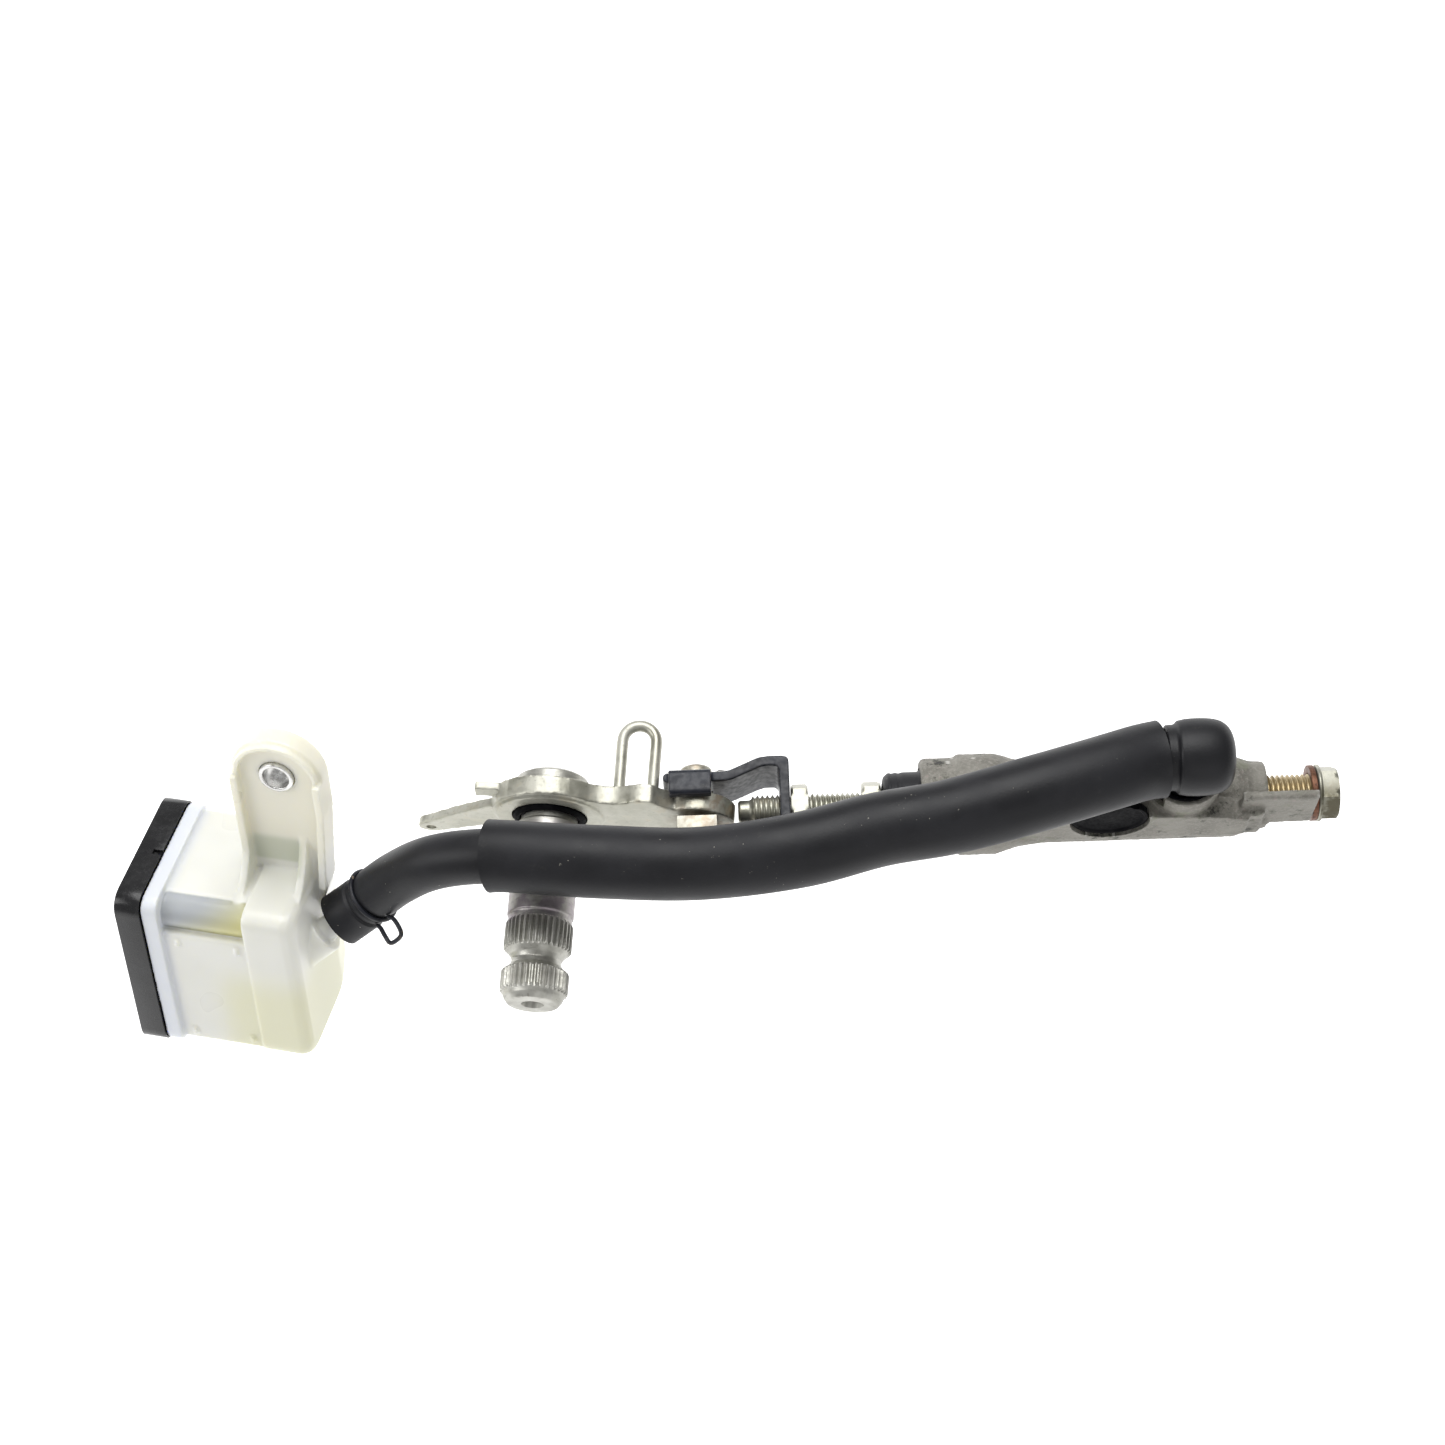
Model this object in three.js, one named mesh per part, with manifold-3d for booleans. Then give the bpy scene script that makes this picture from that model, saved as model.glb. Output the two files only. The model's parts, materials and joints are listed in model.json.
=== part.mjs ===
// Rear brake master cylinder of a motorcycle, with its remote reservoir, feed hose,
// push rod, clevis and the brake pedal's cross shaft on its arm.
//
// Millimetres. +X runs along the cylinder from the push rod to the outlet, +Z points
// out of the inlet, and the shaft points to -Y. The origin is the middle of the
// mounting face, half way between the two fixing holes. Parts are drawn about the
// cylinder's own axis, with x = 0 at its mouth, and a group moves them to the origin.

import * as THREE from 'three';
import { mergeVertices } from 'three/addons/utils/BufferGeometryUtils.js';
import Module from 'manifold-3d';

const wasm = await Module();
wasm.setup();

// ---- Driving dimensions ----

const GAP = 0.3;                  // between pieces that touch on the real object
const FIT = 0.2;                  // radial, between a pin or rod and its hole

const FIXING_PITCH = 50;          // between the two M8 fixing holes
const FIRST_FIXING_X = 12;
const FIXING_Z = -17;             // below the cylinder's axis
const MOUNT_FACE_Y = 12;          // from the cylinder's axis
const FIXING_HOLE_R = 4.25;
const LUG_R = 8;

const BORE_R = 6.35;              // half-inch bore
const BARREL_R = 10.2;
const BARREL_LENGTH = 86;
const BORE_END_X = 77;
const OUTLET_R = 5.1;             // M10 x 1.25 outlet
const COUNTERBORE_R = 8.3;        // holds the boot, the circlip and the stopper washer
const CIRCLIP_GROOVE = { from: 6.4, to: 7.6, r: 9.2 };
const INLET_X = 64;
const INLET_TOP_Z = 14;
const INLET_BOSS_R = 9.6;
const FLANGE_FACE_Y = -10.4;
const FLANGE_BACK_Y = -4.5;
const FLANGE_TOP_Z = 19;
const RECESS = { x: 45.5, z: 12, r: 9.8, depth: 2.6, top: 18.7 };

const ROD_R = 4;                  // M8 x 1.25 push rod
const HEX_R = 6.9;                // across corners, for a 12 mm spanner
const PIN_X = -55.75;             // clevis pin, on the push rod's axis
const PIN_R = 4;
const CLEVIS_HALF_WIDTH = 8;
const STOP_TAB = { x: [-62.5, -52], y: [0.6, 7.4], z: [10, 12.5] };

const ARM_LENGTH = 36.75;         // clevis pin to shaft
const ARM_HALF_THICKNESS = 2.5;
const ARM_BOSS_R = 14.5;
const ARM_EYE_R = 9.5;
const ARM_LEAN = THREE.MathUtils.degToRad(-5.5);   // the arm's free play on its pin
const SHAFT_END_Y = -52.3;
const SPLINE_TEETH = 36;
const SPLINE_TIP_R = 8.4;
const SPLINE_ROOT_R = 7.75;
const HOOK = { x: -15.4, z: 6, halfWidth: 4.2, wire: 1.35, foot: -2.2, top: 20.4 };
const FINGER_HOLE = { x: -68.4, z: -17.4, r: 1.3 };

const HOSE_R = 6.7;
const HOSE_BORE_R = 4;
const SLEEVE_R = 8.9;
const SLEEVE_BORE_R = 7.5;
const INLET_CLIP_WIRE_R = 0.8;
const HOSE_CLIP = { wire: 0.6, gap: 0.15, ear: 5.6, halfWidth: 2.6 };

const TANK = { width: 38.6, height: 51.1, flange: 4, step: 25.7, length: 39, wall: 2, inset: 1.6, corner: 4 };
const TANK_FLOOR = { y: 27, slant: 3 };            // the floor is flat up to y, then slants by this much
const RELIEF = { y: 7.4, z: -10.8 };               // the tank's corner is cut away this far round the post
const POST = { y: 7, z: -6.8, r: 4.6, bore: 3.1 };
const TANK_CORNER = new THREE.Vector3(-193.3, -22.4, 8.3);
const TANK_X = new THREE.Vector3(0.969, -0.223, 0.107);
const TANK_Y = new THREE.Vector3(0.247, 0.886, -0.394);
const NIPPLE_BASE = new THREE.Vector3(39.6, 14.6, -17.6);
const NIPPLE_WAY = new THREE.Vector3(0.745, 0.333, 0.578).normalize();
const CAP_SCREWS = [[2.4, 2.6 - TANK.height], [TANK.width - 2.4, -2.6]];
const CAP = { top: -6.9, bottom: -1.5, over: 0.6, corner: 4.4 };
const STAY = { y: [20, 25], x: [21.8, 44.8], hole: [33.3, 31.5], holeR: 4.4, toe: [42.4, -4], root: -14 };
const NIPPLE = { root: 6.2, r: 3.2, bore: 2.1, length: 13 };
const ELBOW = { x: 65.4, z: 27, ball: 9.6, neck: 8.6, neckX: 59, leg: 6.6, foot: 8, clipR: 7.6 };
const SLEEVE_FROM = 0.232;        // shares of the hose's length
const SLEEVE_TO = 0.979;
const CLIP_AT = 0.055;

// ---- Materials ----

const material = (color, roughness, metalness = 0) =>
  new THREE.MeshStandardMaterial({ color, roughness, metalness });

const cast = material('#85837b', 0.75, 0.6);
const zinc = material('#c9c7b8', 0.4, 0.9);
const steel = material('#a9a6a4', 0.35, 1);
const blackSteel = material('#26272b', 0.5, 0.4);
const rubber = material('#232327', 0.75);
const sealRubber = material('#16161a', 0.6);
const tankPlastic = material('#e6e6d2', 0.45);
const capPlastic = material('#1a1a1c', 0.25);
const copper = material('#a0603f', 0.4, 1);
const anodised = material('#b7b4ac', 0.35, 0.9);

// ---- Solids ----

// A closed three.js geometry as a solid, with its faces turned outwards.
function solid(geometry) {
  const bare = new THREE.BufferGeometry();
  bare.setAttribute('position', geometry.getAttribute('position'));
  if (geometry.index) bare.setIndex(geometry.index);
  const merged = mergeVertices(bare, 1e-4);
  const place = merged.getAttribute('position');
  const corners = [0, 1, 2].map(() => new THREE.Vector3());
  const faces = [];
  let volume = 0;
  for (let i = 0; i < merged.index.count; i += 3) {
    const face = [0, 1, 2].map((k) => merged.index.getX(i + k));
    if (new Set(face).size < 3) continue;
    corners.forEach((corner, k) => corner.fromBufferAttribute(place, face[k]));
    volume += corners[0].dot(corners[1].clone().cross(corners[2]));
    faces.push(face);
  }
  if (volume < 0) faces.forEach((face) => face.reverse());
  return new wasm.Manifold(new wasm.Mesh({
    numProp: 3,
    vertProperties: Float32Array.from(place.array),
    triVerts: Uint32Array.from(faces.flat()),
  }));
}

function geometryOf(body) {
  const mesh = body.getMesh();
  const geometry = new THREE.BufferGeometry();
  geometry.setAttribute('position', new THREE.BufferAttribute(mesh.vertProperties, 3));
  geometry.setIndex(new THREE.BufferAttribute(mesh.triVerts, 1));
  const faceted = geometry.toNonIndexed();
  faceted.computeVertexNormals();
  return faceted;
}

function joined(...bodies) {
  return bodies.reduce((sum, body) => sum.add(body));
}

function cut(body, ...tools) {
  return tools.reduce((rest, tool) => rest.subtract(tool), body);
}

// A box between two values on each axis.
function block([x0, x1], [y0, y1], [z0, z1]) {
  const box = new THREE.BoxGeometry(x1 - x0, y1 - y0, z1 - z0);
  return solid(box.translate((x0 + x1) / 2, (y0 + y1) / 2, (z0 + z1) / 2));
}

// A profile of [along, radius] points turned about an axis. The ends close on the axis.
function turned(profile, axis = 'x', sides = 20) {
  const first = profile[0][0];
  const last = profile[profile.length - 1][0];
  const points = [[first, 0], ...profile, [last, 0]].map(([along, r]) => new THREE.Vector2(r, along));
  const lathe = new THREE.LatheGeometry(points, sides);
  if (axis === 'x') lathe.rotateZ(-Math.PI / 2);
  if (axis === 'z') lathe.rotateX(Math.PI / 2);
  return solid(lathe);
}

const rod = (r, from, to, axis = 'x', sides = 18) => turned([[from, r], [to, r]], axis, sides);

// A washer, sleeve or other plain ring.
const ring = (outer, inner, from, to, axis = 'x', sides = 16) =>
  cut(rod(outer, from, to, axis, sides), rod(inner, from - 1, to + 1, axis, sides));

// A flat shape drawn in X and Z, as thick as from y0 to y1.
function plate(shape, y0, y1, curveSteps = 8) {
  const slab = new THREE.ExtrudeGeometry(shape, {
    depth: y1 - y0, bevelEnabled: false, curveSegments: curveSteps,
  });
  return solid(slab.rotateX(Math.PI / 2).translate(0, y1, 0));
}

// Turns a slab drawn in X and Y so that its outline lies in Y and Z.
const YZ_TO_XYZ = new THREE.Matrix4().makeBasis(
  new THREE.Vector3(0, 1, 0), new THREE.Vector3(0, 0, 1), new THREE.Vector3(1, 0, 0));

// A rounded rectangle in Y and Z, as thick as from x0 to x1.
function panel([x0, x1], [y0, y1], [z0, z1], corner) {
  const shape = new THREE.Shape();
  shape.moveTo(y0 + corner, z0);
  shape.lineTo(y1 - corner, z0).absarc(y1 - corner, z0 + corner, corner, -Math.PI / 2, 0);
  shape.lineTo(y1, z1 - corner).absarc(y1 - corner, z1 - corner, corner, 0, Math.PI / 2);
  shape.lineTo(y0 + corner, z1).absarc(y0 + corner, z1 - corner, corner, Math.PI / 2, Math.PI);
  shape.lineTo(y0, z0 + corner).absarc(y0 + corner, z0 + corner, corner, Math.PI, Math.PI * 1.5);
  const slab = new THREE.ExtrudeGeometry(shape, {
    depth: x1 - x0, bevelEnabled: false, curveSegments: 3,
  });
  return solid(slab.applyMatrix4(YZ_TO_XYZ).translate(x0, 0, 0));
}

function circlePoints(r, sides) {
  return Array.from({ length: sides }, (_, i) => {
    const turn = (i / sides) * Math.PI * 2;
    return new THREE.Vector2(r * Math.cos(turn), r * Math.sin(turn));
  });
}

// A round bar along a curve, or a pipe where it has a bore.
function bar(curve, r, steps, sides = 12, bore = 0) {
  const section = new THREE.Shape(circlePoints(r, sides));
  if (bore > 0) section.holes.push(new THREE.Path(circlePoints(bore, sides)));
  return solid(new THREE.ExtrudeGeometry(section, { steps, extrudePath: curve, curveSegments: 1 }));
}

function stretchOf(curve, from, to, count = 24) {
  const points = [];
  for (let i = 0; i <= count; i += 1) {
    points.push(curve.getPointAt(from + ((to - from) * i) / count));
  }
  return new THREE.CatmullRomCurve3(points);
}

function moved(body, x, y, z) {
  return body.translate([x, y, z]);
}

const hexagon = (acrossCorners, from, to) => turned([[from, acrossCorners], [to, acrossCorners]], 'x', 6);

// ---- Groups ----

const assembly = new THREE.Group();
const cylinderFrame = new THREE.Group();
cylinderFrame.position.set(-(FIRST_FIXING_X + FIXING_PITCH / 2), -MOUNT_FACE_Y, -FIXING_Z);
assembly.add(cylinderFrame);

const armFrame = new THREE.Group();
armFrame.position.set(PIN_X, 0, 0);
armFrame.rotation.z = ARM_LEAN;
cylinderFrame.add(armFrame);

const tankFrame = new THREE.Group();
const tankAcross = TANK_Y.clone().addScaledVector(TANK_X, -TANK_Y.dot(TANK_X) / TANK_X.lengthSq());
const tankBasis = new THREE.Matrix4().makeBasis(
  TANK_X.clone().normalize(),
  tankAcross.clone().normalize(),
  TANK_X.clone().cross(tankAcross).normalize());
tankFrame.quaternion.setFromRotationMatrix(tankBasis);
tankFrame.position.copy(TANK_CORNER);
cylinderFrame.add(tankFrame);

function add(parent, name, body, finish) {
  const mesh = new THREE.Mesh(geometryOf(body), finish);
  mesh.name = name;
  parent.add(mesh);
}

// ---- Master cylinder body ----

function barrel() {
  return turned([
    [0, 11], [0.8, 11.8], [9, 11.8], [9, 12.6], [18.5, 12.6], [20.8, 11.9], [24, 10.9], [30, BARREL_R],
    [78, BARREL_R], [82, 8.6], [BARREL_LENGTH, 8.3],
  ], 'x', 20);
}

function frontFlange() {
  const shape = new THREE.Shape();
  shape.moveTo(20, 0);
  shape.lineTo(80, 0);
  shape.lineTo(80, 10);
  shape.quadraticCurveTo(70, 13.4, 58, 13.4);
  shape.quadraticCurveTo(55, 13.6, 54.2, FLANGE_TOP_Z - 2);
  shape.quadraticCurveTo(54, FLANGE_TOP_Z, 52, FLANGE_TOP_Z);
  shape.lineTo(31, FLANGE_TOP_Z);
  shape.quadraticCurveTo(22, FLANGE_TOP_Z, 20, 9);
  shape.closePath();
  return plate(shape, FLANGE_FACE_Y, FLANGE_BACK_Y);
}

function fixingLugs() {
  const lugs = [0, FIXING_PITCH].map((along) =>
    moved(rod(LUG_R, 1, MOUNT_FACE_Y, 'y', 18), FIRST_FIXING_X + along, 0, FIXING_Z));
  const web = block([FIRST_FIXING_X, FIRST_FIXING_X + FIXING_PITCH], [5, MOUNT_FACE_Y], [FIXING_Z - 4.5, -4]);
  const necks = [0, FIXING_PITCH].map((along) => {
    const x = FIRST_FIXING_X + along;
    return block([x - LUG_R, x + LUG_R], [1, MOUNT_FACE_Y], [FIXING_Z, -3]);
  });
  return joined(...lugs, ...necks, web);
}

function outletEar() {
  return joined(block([78, 96.8], [-7.6, -5.4], [0, 17]), block([76, 84], [-9.4, -5.4], [-2, 11]));
}

// The cylinder's whole bore, from the mouth's counterbore to the outlet.
function bore() {
  const groove = CIRCLIP_GROOVE;
  const shoulderX = 9.6;
  return turned([
    [-1, 9.4], [6, 9.4], [6, COUNTERBORE_R], [groove.from, COUNTERBORE_R], [groove.from, groove.r],
    [groove.to, groove.r], [groove.to, COUNTERBORE_R], [shoulderX, COUNTERBORE_R], [shoulderX, BORE_R],
    [BORE_END_X, BORE_R], [BORE_END_X, OUTLET_R], [BARREL_LENGTH + 1, OUTLET_R],
  ]);
}

function cylinderBody() {
  const inletBoss = moved(rod(INLET_BOSS_R, 2, INLET_TOP_Z, 'z', 20), INLET_X, 0, 0);
  const casting = joined(barrel(), frontFlange(), fixingLugs(), inletBoss, outletEar());
  const fixingHoles = [0, FIXING_PITCH].map((along) =>
    moved(rod(FIXING_HOLE_R, -3, MOUNT_FACE_Y + 1, 'y', 18), FIRST_FIXING_X + along, 0, FIXING_Z));
  const recess = moved(
    rod(RECESS.r, FLANGE_FACE_Y - 1, FLANGE_FACE_Y + RECESS.depth, 'y', 20), RECESS.x, 0, RECESS.z);
  const spigotSeat = moved(rod(7.2, INLET_TOP_Z - 3.4, INLET_TOP_Z + 1, 'z', 18), INLET_X, 0, 0);
  const reliefPort = moved(rod(1, 0, INLET_TOP_Z, 'z', 12), INLET_X + 2.8, 0, 0);
  const feedPort = moved(rod(1.6, 0, INLET_TOP_Z, 'z', 12), INLET_X - 4, 0, 0);
  return cut(casting, ...fixingHoles, recess, bore(), spigotSeat, reliefPort, feedPort);
}

add(cylinderFrame, 'cylinder_body', cylinderBody(), cast);

function recessPlug() {
  const disc = rod(RECESS.r - GAP, FLANGE_FACE_Y + 1.2, FLANGE_FACE_Y + RECESS.depth - GAP, 'y', 18);
  const above = block([RECESS.x - 20, RECESS.x + 20], [FLANGE_FACE_Y, 0], [RECESS.top, 40]);
  return cut(moved(disc, RECESS.x, 0, RECESS.z), above);
}
add(cylinderFrame, 'recess_plug', recessPlug(), sealRubber);

// ---- Outlet: banjo bolt, screwed in by hand, with its washer ----

add(cylinderFrame, 'banjo_bolt', cut(
  joined(rod(4.8, 79, 99.4, 'x', 20), rod(7.2, 98.8, 99.8, 'x', 20), hexagon(HEX_R, 99.4, 104)),
  rod(1.8, 78, 96, 'x', 16),
  moved(rod(1.2, -6, 6, 'y', 12), 92, 0, 0),
), zinc);
add(cylinderFrame, 'banjo_washer', ring(7, 5, 97.1, 98.5, 'x', 20), copper);

// ---- Inside the bore ----

add(cylinderFrame, 'circlip', ring(9, 7, 6.6, 7.4, 'x', 16), steel);
add(cylinderFrame, 'stopper_washer', ring(8.1, 4.6, 7.8, 9.2, 'x', 16), steel);
add(cylinderFrame, 'piston', cut(
  turned([[12, 6.1], [16, 6.1], [16, 4.3], [20, 4.3], [20, 6.1], [22, 6.1], [23, 4.2], [57, 4.2], [58, 6.1],
    [60, 6.1], [60, 2.6], [63.5, 2.6]]),
  turned([[11, 4.9], [12.5, 4.6], [15.6, 3.2]], 'x', 18),
), anodised);
add(cylinderFrame, 'secondary_cup', ring(6.25, 4.5, 16.3, 19.7, 'x', 16), sealRubber);
add(cylinderFrame, 'primary_cup', ring(6.25, 2.8, 60.3, 63.8, 'x', 16), sealRubber);
add(cylinderFrame, 'spring_seat', ring(5.6, 2, 64.1, 64.9, 'x', 18), steel);

class Coil extends THREE.Curve {
  constructor(x0, x1, r, turns) {
    super();
    Object.assign(this, { x0, x1, r, turns });
  }

  getPoint(t, target = new THREE.Vector3()) {
    const turn = t * this.turns * Math.PI * 2;
    return target.set(
      this.x0 + t * (this.x1 - this.x0), this.r * Math.cos(turn), this.r * Math.sin(turn));
  }
}
add(cylinderFrame, 'return_spring', bar(new Coil(65.8, BORE_END_X - 0.8, 4.9, 4), 0.45, 44, 4), steel);

// ---- Push rod, its nuts and its boot ----

add(cylinderFrame, 'push_rod', turned([
  [-45.5, 2.3], [-45, 2.8], [-42.6, 2.8], [-42, ROD_R], [9.5, ROD_R], [10.2, 5.6], [11.3, 5.6], [11.6, 3.4],
  [13.4, 3], [15, 1.5],
], 'x', 20), zinc);
const nutOnRod = (from, to) => cut(hexagon(HEX_R, from, to), rod(ROD_R + FIT, from - 1, to + 1, 'x', 20));
add(cylinderFrame, 'adjusting_nut', nutOnRod(-14.5, -9.8), zinc);
add(cylinderFrame, 'lock_nut', nutOnRod(-32.2, -28), zinc);
add(cylinderFrame, 'boot', cut(
  turned([[-9.5, 5.4], [-9.2, 7.6], [-7.8, 8.6], [-0.3, 8.6], [0.3, 9.1], [5.7, 9.1]], 'x', 20),
  turned([[-10, ROD_R + FIT], [-7.6, ROD_R + FIT], [-7.4, 6.4], [-6.6, 7.1], [6, 7.3]], 'x', 20),
), rubber);

// ---- Clevis and its pin ----

function clevisStrip() {
  const upper = [[-64, 5.5], [-47.5, 5.5], [-39, 9.2], [-35, 9.2], [-35, -9.2], [-39, -9.2], [-47.5, -8.4],
    [-64, -8.4], [-64, -10.9], [-47.5, -10.9], [-39, -11.7], [-32.5, -11.7], [-32.5, 11.7], [-39.6, 11.7],
    [-48, 8], [-64, 8]];
  const shape = new THREE.Shape(upper.map(([x, y]) => new THREE.Vector2(x, y)));
  const deep = CLEVIS_HALF_WIDTH * 2;
  const strip = new THREE.ExtrudeGeometry(shape, { depth: deep, bevelEnabled: false });
  return solid(strip.translate(0, 0, -deep / 2));
}

function clevis() {
  const outline = new THREE.Shape();
  outline.moveTo(PIN_X, -CLEVIS_HALF_WIDTH);
  outline.lineTo(-30, -CLEVIS_HALF_WIDTH);
  outline.lineTo(-30, CLEVIS_HALF_WIDTH);
  outline.lineTo(PIN_X, CLEVIS_HALF_WIDTH);
  outline.absarc(PIN_X, 0, CLEVIS_HALF_WIDTH, Math.PI / 2, Math.PI * 1.5);
  const strip = clevisStrip().intersect(plate(outline, -13, 13));
  const tabReach = block(STOP_TAB.x, [5.5, STOP_TAB.y[1]], [0, STOP_TAB.z[0] + 1]);
  const stopTab = block(STOP_TAB.x, STOP_TAB.y, STOP_TAB.z);
  return cut(
    joined(strip, tabReach, stopTab),
    moved(rod(PIN_R + FIT, -14, 14, 'y', 18), PIN_X, 0, 0),
    rod(ROD_R + FIT, -36, -31, 'x', 20),
  );
}

add(cylinderFrame, 'clevis', clevis(), blackSteel);
add(cylinderFrame, 'clevis_pin', moved(cut(
  turned([[-13.4, 5.6], [-13, 6.2], [-11.2, 6.2], [-11.2, PIN_R], [11.4, PIN_R], [12, 3.4]], 'y', 20),
  moved(rod(1.1, -6, 6, 'x', 12), 0, 10.4, 0),
), PIN_X, 0, 0), zinc);
add(cylinderFrame, 'pin_spacer', moved(cut(
  block([-5, 5], [-8.1, -3.6], [-7, 8.4]),
  rod(PIN_R + FIT, -9, 0, 'y', 18),
), PIN_X, 0, 0), zinc);
add(cylinderFrame, 'pin_washer', moved(ring(6.6, PIN_R + FIT, 8.2, 9.1, 'y', 18), PIN_X, 0, 0), zinc);

function cotterPin() {
  const path = new THREE.CatmullRomCurve3([
    new THREE.Vector3(-7.4, 10.4, 1.2), new THREE.Vector3(-5.4, 10.4, 0.3), new THREE.Vector3(4.6, 10.4, 0),
    new THREE.Vector3(6.2, 10.4, 1.3), new THREE.Vector3(7.6, 10.4, 0), new THREE.Vector3(6.2, 10.4, -1.4),
  ]);
  return moved(bar(path, 0.7, 14, 6), PIN_X, 0, 0);
}
add(cylinderFrame, 'cotter_pin', cotterPin(), steel);

// ---- Arm, shaft and wire hook, drawn about the clevis pin ----

function armShape() {
  const shape = new THREE.Shape();
  const [boss, eye] = [-ARM_LENGTH, 0];
  shape.moveTo(boss + 9, -11.4);
  shape.quadraticCurveTo(boss + 16, -7.4, -8, -8.4);
  shape.quadraticCurveTo(-4, -ARM_EYE_R, eye, -ARM_EYE_R);
  shape.absarc(eye, 0, ARM_EYE_R, -Math.PI / 2, Math.PI / 2 + 0.6);
  shape.quadraticCurveTo(-8.6, 9.2, -11, 12);
  shape.quadraticCurveTo(-15, 12.6, -17, 10.6);
  shape.quadraticCurveTo(boss + 15, 8, boss + 10, 10.5);
  shape.absarc(boss, 0, ARM_BOSS_R, Math.PI * 0.26, Math.PI * 1.715);
  return shape;
}

// The thin finger that points away from the boss, with a hole for a spring's hook.
function fingerShape() {
  const { x, z } = FINGER_HOLE;
  const tipR = 3.2;
  const shape = new THREE.Shape();
  shape.moveTo(-40, 6);
  shape.quadraticCurveTo(-54, 1, x - 0.6, z + tipR);
  shape.absarc(x, z, tipR, Math.PI * 0.6, Math.PI * 1.6);
  shape.quadraticCurveTo(-53, -13, -40, -8);
  shape.closePath();
  return shape;
}

function arm() {
  const hook = [HOOK.x - HOOK.halfWidth, HOOK.x + HOOK.halfWidth];
  return cut(
    joined(
      plate(armShape(), -ARM_HALF_THICKNESS, ARM_HALF_THICKNESS),
      plate(fingerShape(), -1.2, 1.2),
      block([-55.4, -49], [0.4, 2.5], [2.5, 7.5]),
    ),
    moved(rod(PIN_R + 0.5, -4, 4, 'y', 20), 0, 0, 0),
    moved(rod(7.3, -4, 4, 'y', 18), -ARM_LENGTH, 0, 0),
    moved(rod(9.5, -4, -0.5, 'y', 20), -ARM_LENGTH, 0, 0),
    moved(rod(FINGER_HOLE.r, -3, 3, 'y', 14), FINGER_HOLE.x, 0, FINGER_HOLE.z),
    ...hook.map((x) => moved(rod(HOOK.wire + FIT, -4, 4, 'y', 16), x, 0, HOOK.z)),
  );
}

// Two straight legs joined by a half circle.
function wireHook() {
  const bend = HOOK.top - HOOK.halfWidth;
  const legSteps = [0, 1, 2, 3, 4].map((i) => HOOK.foot + (i * (bend - HOOK.foot)) / 4);
  const leg = (x) => legSteps.map((y) => new THREE.Vector3(x, y, 0));
  const crown = [1, 2, 3, 4, 5, 6, 7].map((i) => {
    const turn = Math.PI - (i * Math.PI) / 8;
    return new THREE.Vector3(HOOK.halfWidth * Math.cos(turn), bend + HOOK.halfWidth * Math.sin(turn), 0);
  });
  const [near, far] = [leg(-HOOK.halfWidth), leg(HOOK.halfWidth).reverse()];
  const path = new THREE.CatmullRomCurve3([...near, ...crown, ...far]);
  return moved(bar(path, HOOK.wire, 26, 8), HOOK.x, 0, HOOK.z);
}

function splineBand(from, to) {
  const shape = new THREE.Shape();
  const corners = SPLINE_TEETH * 2;
  for (let i = 0; i < corners; i += 1) {
    const turn = (i / corners) * Math.PI * 2;
    const r = i % 2 ? SPLINE_ROOT_R : SPLINE_TIP_R;
    const [x, z] = [r * Math.cos(turn), r * Math.sin(turn)];
    if (i === 0) shape.moveTo(x, z);
    else shape.lineTo(x, z);
  }
  shape.closePath();
  return plate(shape, from, to);
}

function shaft() {
  const core = turned([
    [SHAFT_END_Y, 6.3], [-51, 7.2], [-50, 7.6], [-44.2, 7.6], [-42.8, 6.5], [-41.4, 6.1], [-40.2, 6.6],
    [-39, 7.6], [-31.4, 7.6], [-31.4, 7.9], [-30.2, 7.9], [-29.8, 8.25], [-6, 8.25], [-5.6, 7.1], [2.8, 7.1],
    [2.8, 9.2], [6.6, 9], [7.6, 7],
  ], 'y', 20);
  return moved(cut(
    joined(core, splineBand(-38.7, -31.8), splineBand(-49.4, -44)),
    turned([[SHAFT_END_Y - 1, 2.8], [SHAFT_END_Y + 1.2, 2.2], [SHAFT_END_Y + 4, 1.2]], 'y', 16),
  ), -ARM_LENGTH, 0, 0);
}

add(armFrame, 'arm', arm(), zinc);
add(armFrame, 'pedal_shaft', shaft(), steel);
add(armFrame, 'dust_seal', moved(ring(9.2, 7.4, -3.2, -0.8, 'y', 20), -ARM_LENGTH, 0, 0), sealRubber);
add(armFrame, 'wire_hook', wireHook(), zinc);

// ---- Reservoir, drawn in its own upright frame: x down from the cap, z out to the stay ----

function tankShell() {
  const { width, height, flange, step, length, inset, corner } = TANK;
  const rim = panel([0, flange], [0, width], [-height, 0], corner);
  const chamber = panel([flange - 1, step + 1], [inset, width - inset], [inset - height, -inset], corner);
  const cornerRelief = block([flange, step], [-1, RELIEF.y], [RELIEF.z, 1]);
  const post = moved(rod(POST.r, flange - 1, step + 1, 'x', 20), 0, POST.y, POST.z);
  const foot = panel([step, length], [0.6, width - 1], [0.6 - height, -0.4], corner);
  const slant = new THREE.Shape();
  slant.moveTo(length - TANK_FLOOR.slant, width);
  slant.lineTo(length + 2, width);
  slant.lineTo(length + 2, TANK_FLOOR.y);
  slant.lineTo(length, TANK_FLOOR.y);
  slant.closePath();
  const belowSlant = solid(new THREE.ExtrudeGeometry(slant, { depth: height + 4, bevelEnabled: false })
    .translate(0, 0, -height - 2));
  return joined(cut(joined(rim, chamber), cornerRelief), post, cut(foot, belowSlant));
}

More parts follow.
